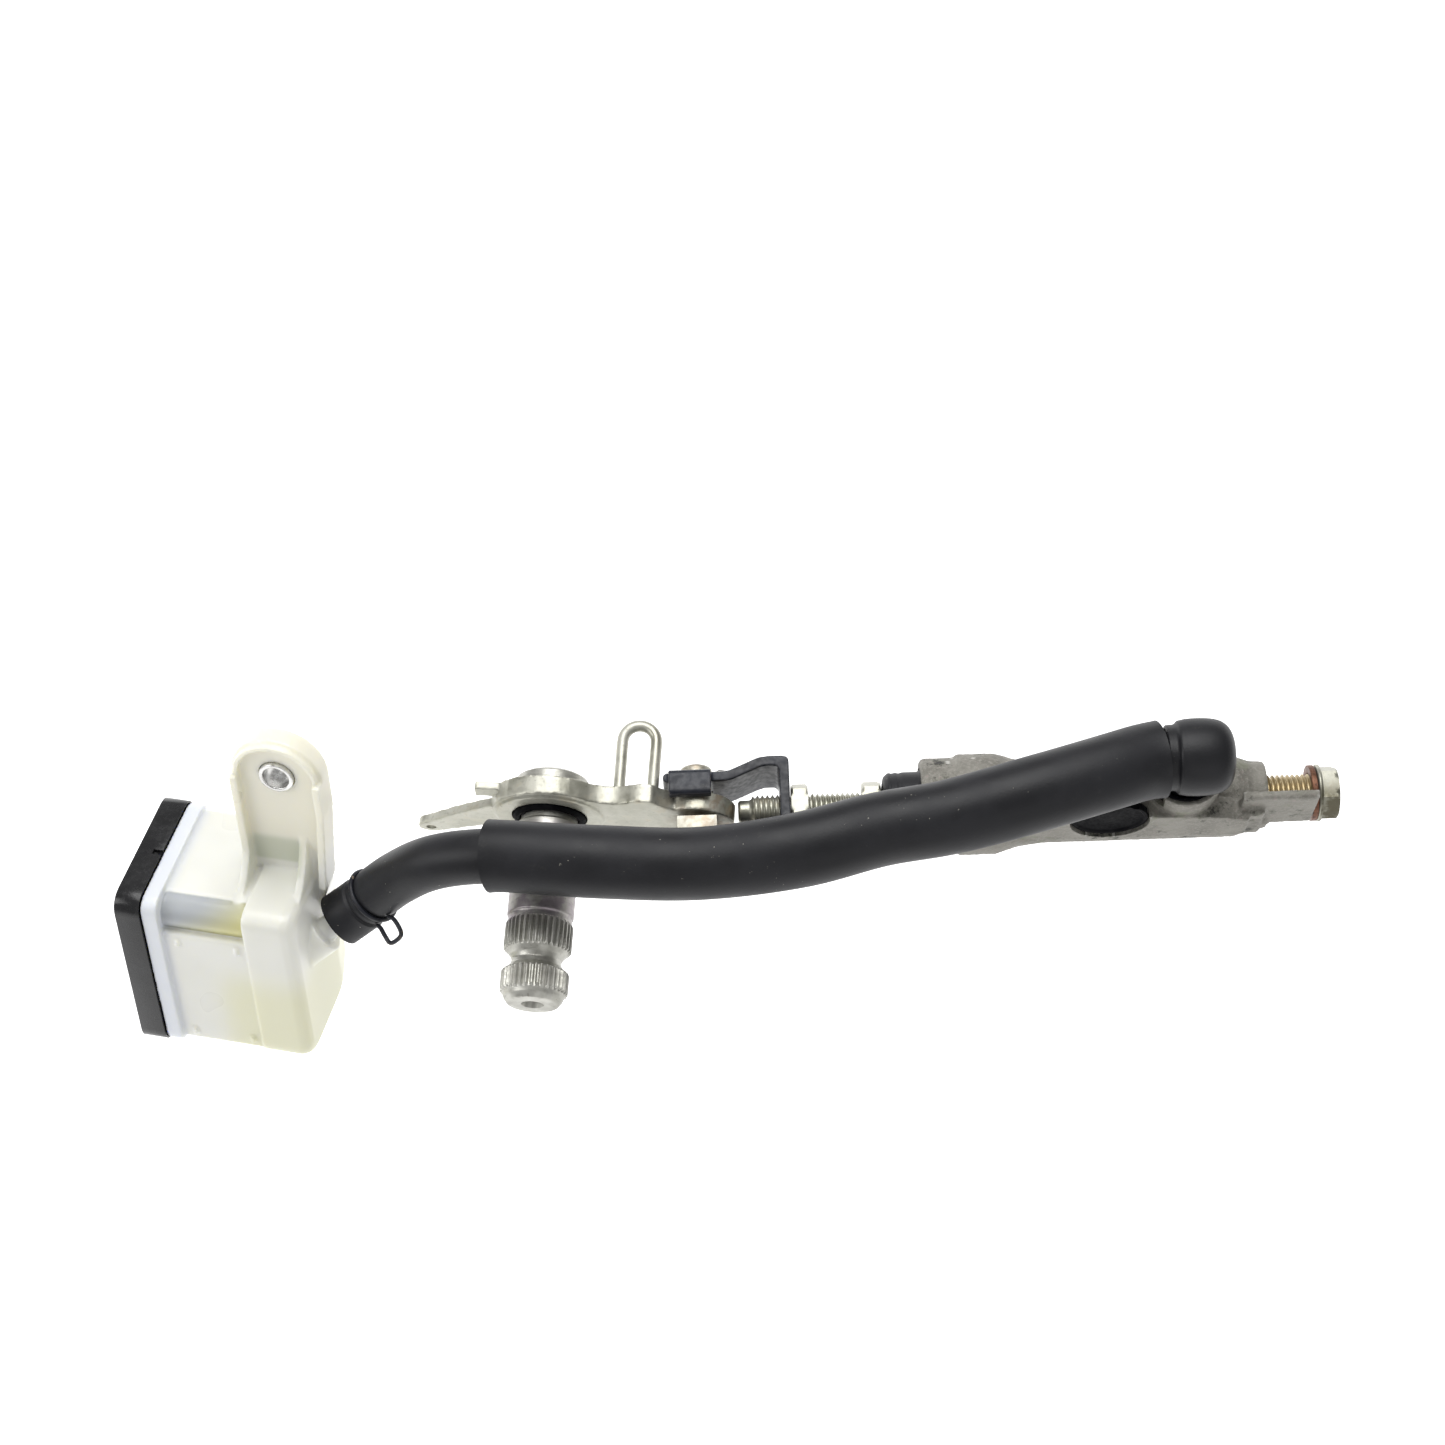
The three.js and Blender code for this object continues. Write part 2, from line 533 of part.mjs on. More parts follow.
function stay() {
  const [left, right] = STAY.x;
  const [front, back] = STAY.y;
  const shape = new THREE.Shape();
  shape.moveTo(left, -2);
  shape.lineTo(TANK.length - 1, STAY.root);
  shape.lineTo(TANK.length, STAY.root);
  shape.lineTo(...STAY.toe);
  shape.lineTo(right, STAY.hole[1] - 10);
  shape.lineTo(right, STAY.hole[1]);
  shape.absarc(STAY.hole[0], STAY.hole[1], (right - left) / 2, 0, Math.PI);
  shape.closePath();
  const web = plate(shape, front, back, 12);
  const rims = [left, right - 2].map((x) =>
    block([x, x + 2], [front - 2.8, front + 1], [x > TANK.length ? 6 : -2, STAY.hole[1]]));
  const gusset = new THREE.Shape();
  gusset.moveTo(front + 0.5, -2);
  gusset.lineTo(4, -2);
  gusset.lineTo(front + 0.5, 14);
  gusset.closePath();
  const gussets = [left, TANK.length - 2.6].map((x) => {
    const slab = new THREE.ExtrudeGeometry(gusset, { depth: 2, bevelEnabled: false });
    return solid(slab.applyMatrix4(YZ_TO_XYZ).translate(x, 0, 0));
  });
  return joined(web, ...rims, ...gussets);
}

// A round bar that starts at a point and runs along a direction, in the reservoir's frame.
function spigot(start, way, r, from, to, sides = 28) {
  const line = rod(r, from, to, 'x', sides);
  const turn = new THREE.Matrix4().makeRotationFromQuaternion(
    new THREE.Quaternion().setFromUnitVectors(new THREE.Vector3(1, 0, 0), way));
  turn.setPosition(start);
  return line.transform(turn.elements);
}

function reservoirBody() {
  const { width, height, length, wall, step, inset } = TANK;
  const outside = joined(
    tankShell(),
    stay(),
    spigot(NIPPLE_BASE, NIPPLE_WAY, NIPPLE.root, -6, 3),
    spigot(NIPPLE_BASE, NIPPLE_WAY, NIPPLE.r, -6, NIPPLE.length),
  );
  const inner = inset + wall;
  const floorX = step + 2;
  return cut(
    outside,
    block([-1, floorX], [RELIEF.y + 6, width - inner], [inner - height, -inner]),
    block([-1, floorX], [inner, width - inner], [inner - height, RELIEF.z - wall]),
    block([step, length - wall], [inner, TANK_FLOOR.y - wall], [inner - height, -inner]),
    moved(rod(POST.bore, -1, step + 4, 'x', 16), 0, POST.y, POST.z),
    spigot(NIPPLE_BASE, NIPPLE_WAY, NIPPLE.bore, -9, NIPPLE.length + 2, 16),
    moved(rod(STAY.holeR + FIT, 10, 30, 'y', 20), STAY.hole[0], 0, STAY.hole[1]),
    ...CAP_SCREWS.map(([y, z]) => moved(rod(1.5, -2, 3, 'x', 12), 0, y, z)),
  );
}

function reservoirCap() {
  const { width, height } = TANK;
  const { over } = CAP;
  return cut(
    panel([CAP.top, CAP.bottom], [-over, width + over], [-height - over, over], CAP.corner),
    panel([-4.2, -1], [6, width - 6], [6 - height, -6], 3),
    ...CAP_SCREWS.map(([y, z]) => moved(rod(1.9, -8, 0, 'x', 16), 0, y, z)),
    ...CAP_SCREWS.map(([y, z]) => moved(rod(2.2, -7, -4.9, 'x', 16), 0, y, z)),
  );
}

function capScrew([y, z]) {
  return moved(joined(rod(2, -6.1, -5, 'x', 16), rod(1.3, -5.4, 2.6, 'x', 12)), 0, y, z);
}

add(tankFrame, 'reservoir_body', reservoirBody(), tankPlastic);
add(tankFrame, 'reservoir_cap', reservoirCap(), capPlastic);
add(tankFrame, 'diaphragm', cut(
  joined(
    panel([-1.2, -0.3], [0.2, TANK.width - 0.2], [0.2 - TANK.height, -0.2], 4),
    panel([-0.6, 7], [15, TANK.width - 5.5], [5.5 - TANK.height, -15.5], 3),
  ),
  panel([-2, 6], [16.2, TANK.width - 6.7], [6.7 - TANK.height, -16.7], 2.5),
  ...CAP_SCREWS.map(([y, z]) => moved(rod(1.7, -3, 3, 'x', 14), 0, y, z)),
), sealRubber);
add(
  tankFrame, 'diaphragm_plate', panel([-3.4, -1.6], [7, TANK.width - 7], [7 - TANK.height, -7], 3), anodised);
CAP_SCREWS.forEach((place, i) => add(tankFrame, `cap_screw_${i + 1}`, capScrew(place), steel));
add(tankFrame, 'stay_collar', moved(
  ring(STAY.holeR, 3.3, STAY.y[0] - 1, STAY.y[1] + 1, 'y', 18), STAY.hole[0], 0, STAY.hole[1]), steel);

// ---- Feed hose, sleeve, elbow and clips ----

tankFrame.updateMatrix();
const nippleStart = NIPPLE_BASE.clone().addScaledVector(NIPPLE_WAY, 7.8).applyMatrix4(tankFrame.matrix);
const nippleRun = NIPPLE_BASE.clone().addScaledVector(NIPPLE_WAY, 14).applyMatrix4(tankFrame.matrix);

const hosePath = new THREE.CatmullRomCurve3([
  nippleStart,
  nippleRun,
  new THREE.Vector3(-130, -17.4, 7.5),
  new THREE.Vector3(-119.8, -17, 17.2),
  new THREE.Vector3(-106, -18.1, 23.3),
  new THREE.Vector3(-91.5, -20, 25),
  new THREE.Vector3(-79, -21.1, 24.8),
  new THREE.Vector3(-55.2, -22.7, 25.8),
  new THREE.Vector3(-31, -20.7, 27.5),
  new THREE.Vector3(-11.9, -16.9, 29.5),
  new THREE.Vector3(4.9, -14.9, 31),
  new THREE.Vector3(29.3, -8.9, 31.5),
  new THREE.Vector3(44, -4.4, 30.2),
  new THREE.Vector3(53, -1.2, 28),
  new THREE.Vector3(57.5, -0.3, 27.3),
  new THREE.Vector3(60.8, 0, 27.2),
]);

const hose = () => bar(hosePath, HOSE_R, 28, 10, HOSE_BORE_R);
const sleeve = () => bar(stretchOf(hosePath, SLEEVE_FROM, SLEEVE_TO), SLEEVE_R, 22, 12, SLEEVE_BORE_R);

function elbow() {
  const { x, z } = ELBOW;
  const footZ = INLET_TOP_Z + 0.8;
  const neck = moved(rod(ELBOW.neck, ELBOW.neckX, x, 'x', 18), 0, 0, z);
  const ball = solid(new THREE.SphereGeometry(ELBOW.ball, 18, 10).translate(x, 0, z));
  const bulb = cut(ball, block([x - 12, x - 4], [-12, 12], [z - 12, z + 12]));
  const leg = moved(rod(ELBOW.leg, footZ, z, 'z', 18), INLET_X, 0, 0);
  const foot = moved(rod(ELBOW.foot, footZ, footZ + 1.4, 'z', 18), INLET_X, 0, 0);
  return cut(
    joined(neck, bulb, leg, foot),
    moved(rod(HOSE_R + 0.9, ELBOW.neckX - 6, ELBOW.neckX + 4, 'x', 16), 0, 0, z + 0.2),
    moved(rod(4, ELBOW.neckX + 3, INLET_X + 0.5, 'x', 18), 0, 0, z),
    moved(rod(3.6, INLET_TOP_Z, z, 'z', 18), INLET_X, 0, 0),
  );
}

add(cylinderFrame, 'feed_hose', hose(), rubber);
add(cylinderFrame, 'hose_sleeve', sleeve(), rubber);
add(cylinderFrame, 'inlet_elbow', elbow(), rubber);
add(cylinderFrame, 'inlet_spigot', moved(cut(
  joined(
    rod(6.9, INLET_TOP_Z - 3, INLET_TOP_Z - 0.6, 'z', 20),
    rod(3.3, INLET_TOP_Z - 1, INLET_TOP_Z + 9, 'z', 18),
  ),
  rod(1.9, INLET_TOP_Z - 5, INLET_TOP_Z + 11, 'z', 16),
), INLET_X, 0, 0), capPlastic);
const clipRing = solid(new THREE.TorusGeometry(ELBOW.clipR, INLET_CLIP_WIRE_R, 5, 20));
add(cylinderFrame, 'inlet_clip', moved(clipRing, INLET_X, 0, INLET_TOP_Z + 3.4), blackSteel);

// A sprung wire clip round the hose, with its two ends turned up into a finger loop.
function hoseClip() {
  const { wire, gap, ear, halfWidth } = HOSE_CLIP;
  const near = HOSE_R + gap + wire;
  const loop = solid(new THREE.TorusGeometry(near, wire, 5, 20));
  const far = near + ear;
  const half = [[near, 1], [near + ear / 2, 1.08], [far - wire, 0.85]];
  const corners = [
    ...half.map(([x, share]) => [x, -share]), [far, 0], ...half.reverse().map(([x, share]) => [x, share])];
  const path = new THREE.CatmullRomCurve3(
    corners.map(([x, share]) => new THREE.Vector3(x, 0, share * halfWidth)));
  const foot = block([near - wire / 2, near + wire], [-wire, wire], [-halfWidth - wire, halfWidth + wire]);
  return joined(loop, bar(path, wire, 16, 6), foot);
}

const clipFrame = new THREE.Group();
clipFrame.position.copy(hosePath.getPointAt(CLIP_AT));
const clipWay = hosePath.getTangentAt(CLIP_AT);
const earWay = new THREE.Vector3(0.35, -0.85, -0.2);
earWay.addScaledVector(clipWay, -earWay.dot(clipWay)).normalize();
clipFrame.quaternion.setFromRotationMatrix(
  new THREE.Matrix4().makeBasis(earWay, clipWay.clone().cross(earWay), clipWay));
cylinderFrame.add(clipFrame);
add(clipFrame, 'hose_clip', hoseClip(), blackSteel);

export default assembly;
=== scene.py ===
"""The looks of a motorcycle's rear brake master cylinder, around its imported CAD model.

Shapes are drawn in millimetres from the cylinder's mouth, and a matrix takes them to the row frame.
"""
import json
import math

import bpy
import numpy as np
from mathutils import Matrix, Vector, noise


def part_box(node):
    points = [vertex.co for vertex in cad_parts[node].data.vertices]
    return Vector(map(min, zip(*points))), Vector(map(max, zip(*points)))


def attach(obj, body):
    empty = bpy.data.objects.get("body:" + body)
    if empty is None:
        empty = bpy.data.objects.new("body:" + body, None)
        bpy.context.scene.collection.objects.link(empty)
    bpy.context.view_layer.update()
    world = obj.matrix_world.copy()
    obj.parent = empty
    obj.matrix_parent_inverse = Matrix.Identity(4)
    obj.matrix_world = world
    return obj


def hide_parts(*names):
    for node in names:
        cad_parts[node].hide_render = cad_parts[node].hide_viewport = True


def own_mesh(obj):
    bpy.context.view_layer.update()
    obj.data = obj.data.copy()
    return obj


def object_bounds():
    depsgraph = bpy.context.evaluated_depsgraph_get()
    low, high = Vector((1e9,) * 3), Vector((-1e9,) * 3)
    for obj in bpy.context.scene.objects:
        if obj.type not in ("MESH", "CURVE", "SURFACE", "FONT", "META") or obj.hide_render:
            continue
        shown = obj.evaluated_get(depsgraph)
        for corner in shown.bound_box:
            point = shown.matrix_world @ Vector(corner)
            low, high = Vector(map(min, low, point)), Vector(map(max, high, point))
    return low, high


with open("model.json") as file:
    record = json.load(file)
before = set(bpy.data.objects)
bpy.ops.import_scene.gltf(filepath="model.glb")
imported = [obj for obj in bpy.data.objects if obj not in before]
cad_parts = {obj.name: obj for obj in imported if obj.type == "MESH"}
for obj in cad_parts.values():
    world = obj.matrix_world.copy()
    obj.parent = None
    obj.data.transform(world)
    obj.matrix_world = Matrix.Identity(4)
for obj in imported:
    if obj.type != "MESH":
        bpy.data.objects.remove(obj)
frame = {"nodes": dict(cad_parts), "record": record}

CAD_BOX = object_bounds()
MM = 0.001

BODY_OF = {n: body for body, nodes in frame["record"]["behaviour"]["bodies"].items() for n in nodes}
SLOT_OF = {row["node"]: row["material_slot"] for row in frame["record"]["subparts"]}


def middle(node):
    low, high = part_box(node)
    return (low + high) / 2


# ---- Driving dimensions, in millimetres from the cylinder's mouth on its axis ----

ROD_AXIS = middle("push_rod")
MOUTH = Vector((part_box("cylinder_body")[0].x, ROD_AXIS.y, ROD_AXIS.z))
PIN_X = (middle("clevis_pin").x - MOUTH.x) / MM
INLET_X = (middle("inlet_spigot").x - MOUTH.x) / MM
OUTLET_END_X = 86

BORE_R = 6.35
OUTLET_R = 5.1
BARREL_R = 10.2
INLET_TOP_Z = 14
ELBOW_Z = 27
FIXING_X = (12, 62)
FIXING_Z = -17
FIXING_R = 4.25
FLANGE_FACE_Y = -10.4
RECESS_X, RECESS_Z, RECESS_R = 45.5, 12, 9.8

ROD_R = 4
PITCH = 1.25
HEX_ACROSS_FLATS = 12

ARM_LENGTH = 36.75
ARM_LEAN = math.radians(-5.5)
SHAFT_END_Y = -52.3
SPLINE_TEETH = 36
HOOK_X, HOOK_Z, HOOK_HALF_WIDTH, HOOK_WIRE_R, HOOK_TOP_Y = -15.4, 6, 4.2, 1.45, 20.25

HOSE_R = 6.7
HOSE_BORE_R = 4
SLEEVE_BORE_R = 7.5
SLEEVE_FROM, SLEEVE_TO = 0.232, 0.981
CLIP_AT = 0.055
INLET_CLIP_WIRE_R, HOSE_CLIP_WIRE_R = 0.8, 0.58

TANK_WIDTH, TANK_HEIGHT, TANK_STEP, TANK_LENGTH = 38.6, 51.1, 25.7, 39
RELIEF_Y, RELIEF_Z = 7.4, -10.8
POST = Vector((0, 7, -6.8))
POST_R = 4.6
TANK_CORNER = Vector((-193.3, -22.4, 8.3))
TANK_X = Vector((0.969, -0.223, 0.107)).normalized()
TANK_Y = Vector((0.247, 0.886, -0.394))
NIPPLE_BASE = Vector((39.6, 14.6, -17.6))
NIPPLE_WAY = Vector((0.745, 0.333, 0.578)).normalized()
STAY_X = (21.8, 44.8)
STAY_HOLE = (33.3, 31.5)
FINGER_TIP = (-68.4, -17.4)


def basis(x, y, z, origin):
    """The matrix of a frame with these axes and this origin."""
    turn = Matrix((x, y, z)).transposed().to_4x4()
    return Matrix.Translation(origin) @ turn


CYLINDER = Matrix.Translation(MOUTH) @ Matrix.Scale(MM, 4)
ARM = CYLINDER @ Matrix.Translation((PIN_X, 0, 0)) @ Matrix.Rotation(ARM_LEAN, 4, "Z")
tank_y = (TANK_Y - TANK_X * TANK_Y.dot(TANK_X)).normalized()
TANK_IN_CYLINDER = basis(TANK_X, tank_y, TANK_X.cross(tank_y), TANK_CORNER)
TANK = CYLINDER @ TANK_IN_CYLINDER


# ---- Shapes: each is (points, faces), in millimetres ----

def on_axis(axis, along, u, v):
    """A point from its distance along an axis and its two offsets across it."""
    return {"x": (along, u, v), "y": (u, along, v), "z": (u, v, along)}[axis]


def skin(rings, wrap=False):
    """Quads between rings of points. The ends are capped, or the last ring joins the first."""
    count = len(rings[0])
    points = [p for ring in rings for p in ring]
    pairs = [(a, a + 1) for a in range(len(rings) - 1)]
    if wrap:
        pairs.append((len(rings) - 1, 0))
    faces = []
    for a, b in pairs:
        for i in range(count):
            j = (i + 1) % count
            faces.append((a * count + i, a * count + j, b * count + j, b * count + i))
    if not wrap:
        faces.append(tuple(range(count)))
        faces.append(tuple((len(rings) - 1) * count + i for i in range(count)))
    return points, faces


def rounded(corners, r, wrap=False, steps=4):
    """A polyline with its corners rounded off, each by r or by what its two sides leave room for."""
    corners = [Vector(c) for c in corners]
    last = len(corners) - 1
    line = []
    for i, corner in enumerate(corners):
        if not wrap and i in (0, last):
            line.append(tuple(corner))
            continue
        before = corners[i - 1] - corner
        after = corners[(i + 1) % len(corners)] - corner
        start = corner + before * min(0.45, r / max(before.length, 1e-6))
        end = corner + after * min(0.45, r / max(after.length, 1e-6))
        for k in range(steps + 1):
            t = k / steps
            line.append(tuple(start * (1 - t) ** 2 + corner * 2 * t * (1 - t) + end * t * t))
    return line


def turned(profile, axis="x", sides=96, edge=0.25, centre=(0, 0), wrap=False, section=None):
    """A profile of (along, radius) turned about an axis. section(angle, along, radius) may vary it."""
    line = rounded(profile, edge, wrap) if edge else profile
    rings = []
    for along, r in line:
        ring = []
        for i in range(sides):
            turn = math.tau * i / sides
            reach = section(turn, along, r) if section else r
            u = centre[0] + reach * math.cos(turn)
            v = centre[1] + reach * math.sin(turn)
            ring.append(on_axis(axis, along, u, v))
        rings.append(ring)
    return skin(rings, wrap)


def rod(r, low, high, axis="x", centre=(0, 0), sides=96):
    return turned([(low, r), (high, r)], axis, sides, 0, centre)


def washer(outer, inner, low, high, axis="x", centre=(0, 0), edge=0.2):
    corners = [(low, inner), (low, outer), (high, outer), (high, inner)]
    return turned(corners, axis, 96, edge, centre, wrap=True)


def slab(outline, low, high, axis="y"):
    """An outline of (u, v) points, as thick as from low to high along the axis."""
    return skin([[on_axis(axis, along, u, v) for u, v in outline] for along in (low, high)])


def box(x, y, z):
    corners = [(x[0], z[0]), (x[1], z[0]), (x[1], z[1]), (x[0], z[1])]
    return slab(corners, y[0], y[1], "y")


def panel(x, y, z, corner):
    """A plate across the X axis, with rounded corners."""
    outline = rounded([(y[0], z[0]), (y[1], z[0]), (y[1], z[1]), (y[0], z[1])], corner, wrap=True, steps=8)
    return slab(outline, x[0], x[1], "x")


def arc(centre, r, start, end, steps=24):
    """Points round a circle, from one angle in degrees to another."""
    turns = [math.radians(start + (end - start) * i / steps) for i in range(steps + 1)]
    return [(centre[0] + r * math.cos(t), centre[1] + r * math.sin(t)) for t in turns]


def bend(a, control, b, steps=10):
    """Points along a curve from a to b that is pulled towards control, without a itself."""
    a, control, b = Vector(a), Vector(control), Vector(b)
    shares = [(i + 1) / steps for i in range(steps)]
    return [tuple(a * (1 - t) ** 2 + control * 2 * t * (1 - t) + b * t * t) for t in shares]


def smooth_path(points, spacing):
    """A centripetal Catmull-Rom curve through the points, cut into steps of about one spacing."""
    p = [Vector(q) for q in points]
    p = [p[0] * 2 - p[1], *p, p[-1] * 2 - p[-2]]
    dense = []
    for i in range(1, len(p) - 2):
        knots = [max((p[i + k] - p[i + k - 1]).length, 1e-4) ** 0.5 for k in (0, 1, 2)]
        first = (p[i] - p[i - 1]) / knots[0] - (p[i + 1] - p[i - 1]) / (knots[0] + knots[1])
        first = (first + (p[i + 1] - p[i]) / knots[1]) * knots[1]
        second = (p[i + 1] - p[i]) / knots[1] - (p[i + 2] - p[i]) / (knots[1] + knots[2])
        second = (second + (p[i + 2] - p[i + 1]) / knots[2]) * knots[1]
        for k in range(40):
            t = k / 40
            dense.append(
                p[i] * (2 * t**3 - 3 * t**2 + 1) + first * (t**3 - 2 * t**2 + t)
                + p[i + 1] * (3 * t**2 - 2 * t**3) + second * (t**3 - t**2))
    dense.append(p[-2])
    return evened(dense, spacing)


def evened(points, spacing):
    """The same line cut into equal steps."""
    xyz = np.array([tuple(q) for q in points])
    far = np.concatenate([[0], np.cumsum(np.linalg.norm(np.diff(xyz, axis=0), axis=1))])
    stops = np.linspace(0, far[-1], max(2, round(far[-1] / spacing) + 1))
    return [Vector([np.interp(s, far, xyz[:, k]) for k in range(3)]) for s in stops]


def stretch(points, start, end):
    """The part of an even line between two shares of its length."""
    last = len(points) - 1
    return points[round(start * last):round(end * last) + 1]


def sweep_frames(points):
    """A pair of cross directions at each point of a line, turned as little as can be."""
    last = len(points) - 1
    ways = [(points[min(i + 1, last)] - points[max(i - 1, 0)]).normalized() for i in range(last + 1)]
    across = ways[0].orthogonal().normalized()
    frames = []
    for way in ways:
        across = (across - way * across.dot(way)).normalized()
        frames.append((across, way.cross(across)))
    return frames


def tube_rings(points, radius, sides):
    """Rings round a line. radius(share, angle) gives the radius in millimetres."""
    rings = []
    last = len(points) - 1
    for i, (point, (u, v)) in enumerate(zip(points, sweep_frames(points))):
        ring = []
        for k in range(sides):
            turn = math.tau * k / sides
            ring.append(tuple(point + (u * math.cos(turn) + v * math.sin(turn)) * radius(i / last, turn)))
        rings.append(ring)
    return rings


def wire(points, r, spacing=0.6, sides=20):
    """A round bar along a smooth curve, with rounded ends."""
    line = smooth_path(points, spacing)
    ends = {0: 0.45, 1: 0.85, len(line) - 2: 0.85, len(line) - 1: 0.45}
    last = len(line) - 1
    return skin(tube_rings(line, lambda share, turn: r * ends.get(round(share * last), 1), sides))


def pipe(points, outer, bore, sides):
    """A hollow tube with flat ends."""
    outside = tube_rings(points, outer, sides)
    inside = tube_rings(points, lambda share, turn: bore, sides)
    return skin(outside + inside[::-1], wrap=True)


def hoop(r, wire_r, centre=(0, 0, 0)):
    """A ring of wire about the Z axis."""
    profile = [(centre[2] + wire_r * math.sin(t), r + wire_r * math.cos(t))
               for t in (math.tau * k / 16 for k in range(16))]
    return turned(profile, "z", edge=0, centre=centre[:2], wrap=True)


def hex_section(across_flats, low, high):
    """The radius of a hexagonal nut or bolt head, whose corners are chamfered at both ends."""
    chamfer_slope = 2.09

    def radius(turn, along, r):
        sector = (turn % (math.pi / 3)) - math.pi / 6
        corner = across_flats / 2 / math.cos(sector)
        inset = min(along - low, high - along)
        cone = across_flats / 2 * 1.02 + max(inset, 0) * chamfer_slope
        return r if r < across_flats / 2 * 0.97 else min(corner, cone)
    return radius


def hex_nut(low, high, bore):
    flat = HEX_ACROSS_FLATS / 2
    steps = 8
    outside = [(low + (high - low) * k / steps, flat) for k in range(steps + 1)]
    ends = [(low, flat * 0.95), (low, bore + 0.5), (low + 0.5, bore), (high - 0.5, bore), (high, bore + 0.5)]
    profile = outside + [(high, flat * 0.95)] + ends[::-1][:-1] + [ends[0]]
    return turned(profile, sides=144, edge=0, wrap=True, section=hex_section(HEX_ACROSS_FLATS, low, high))


def thread_section(pitch, depth, low, high):
    """The radius of a screw thread that fades out at both ends of its stretch."""
    def radius(turn, along, r):
        phase = (along / pitch - turn / math.tau) % 1
        tooth = min(1, max(0, 1.15 - abs(phase - 0.5) * 3.2))
        fade = min(1, max(0, (along - low) / pitch), max(0, (high - along) / pitch))
        return r - depth * fade * (1 - tooth)
    return radius


def screw(r, low, high):
    """A threaded rod with chamfered ends."""
    chamfer = 0.7
    count = round((high - low - 2 * chamfer) / (PITCH / 10))
    steps = [low + chamfer + (high - low - 2 * chamfer) * k / count for k in range(count + 1)]
    profile = [(low, r - chamfer), *((along, r) for along in steps), (high, r - chamfer)]
    groove = thread_section(PITCH, PITCH * 0.55, low - PITCH, high + PITCH)
    return turned(profile, sides=60, edge=0, section=groove)


def in_frame(shape, matrix):
    points, faces = shape
    return [tuple(matrix @ Vector(p)) for p in points], faces


# ---- Pieces ----

def object_from(name, shapes, place):
    """One Blender object from several closed shapes, in metres."""
    points, faces = [], []
    for shape_points, shape_faces in shapes:
        start = len(points)
        points += [place @ Vector(p) for p in shape_points]
        faces += [tuple(start + i for i in face) for face in shape_faces]
    mesh = bpy.data.meshes.new(name)
    mesh.from_pydata(points, [], faces)
    made = bpy.data.objects.new(name, mesh)
    bpy.context.scene.collection.objects.link(made)
    face_outwards(made)
    return made


def face_outwards(made):
    bpy.context.view_layer.objects.active = made
    made.select_set(True)
    bpy.ops.object.mode_set(mode="EDIT")
    bpy.ops.mesh.select_all(action="SELECT")
    bpy.ops.mesh.normals_make_consistent(inside=False)
    bpy.ops.object.mode_set(mode="OBJECT")
    made.select_set(False)


def apply_modifiers(made):
    graph = bpy.context.evaluated_depsgraph_get()
    graph.update()
    mesh = bpy.data.meshes.new_from_object(made.evaluated_get(graph))
    made.modifiers.clear()
    made.data = mesh


def fused(made, voxel, relax):
    """Overlapping shapes become one skin with its inner corners filled, as a casting or a moulding has."""
    remesh = made.modifiers.new("fuse", "REMESH")
    remesh.mode = "VOXEL"
    remesh.voxel_size = voxel * MM
    soften = made.modifiers.new("soften", "SMOOTH")
    soften.factor = 0.5
    soften.iterations = relax
    apply_modifiers(made)


def carve(made, tool, place):
    """Takes one closed shape away."""
    cutter = object_from("cutter", [tool], place)
    boolean = made.modifiers.new("carve", "BOOLEAN")
    boolean.operation = "DIFFERENCE"
    boolean.solver = "MANIFOLD"
    boolean.object = cutter
    apply_modifiers(made)
    bpy.data.objects.remove(cutter)


def roughen(made, height, size):
    """Moves each point a little along its normal, as sand leaves a casting."""
    count = len(made.data.vertices)
    places, normals = np.zeros(count * 3), np.zeros(count * 3)
    made.data.vertices.foreach_get("co", places)
    made.data.vertex_normals.foreach_get("vector", normals)
    places, normals = places.reshape(-1, 3), normals.reshape(-1, 3)
    push = [noise.fractal(Vector(place) / (size * MM), 0.8, 2.0, 3) for place in places]
    places += normals * np.array(push)[:, None] * height * MM
    made.data.vertices.foreach_set("co", places.ravel())
    made.data.update()


def piece(name, node, shapes, place=CYLINDER, cuts=(), fuse=None, bevel=None, rough=None, angle=32):
    """A detailed piece that stands for a CAD node, and takes its body and its material slot."""
    made = object_from(name, shapes, place)
    if fuse:
        fused(made, *fuse)
    if rough:
        roughen(made, *rough)
    for tool in cuts:
        carve(made, tool, place)
    if bevel:
        edges = made.modifiers.new("edges", "BEVEL")
        edges.width = bevel * MM
        edges.segments = 3
        edges.limit_method = "ANGLE"
        edges.angle_limit = math.radians(28)
        apply_modifiers(made)
    made.data.shade_smooth()
    made.data.set_sharp_from_angle(angle=math.radians(angle))
    made.data.materials.clear()
    made.data.materials.append(LOOKS[SLOT_OF[node]])
    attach(made, BODY_OF[node])
    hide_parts(node)
    return made


# ---- Materials ----

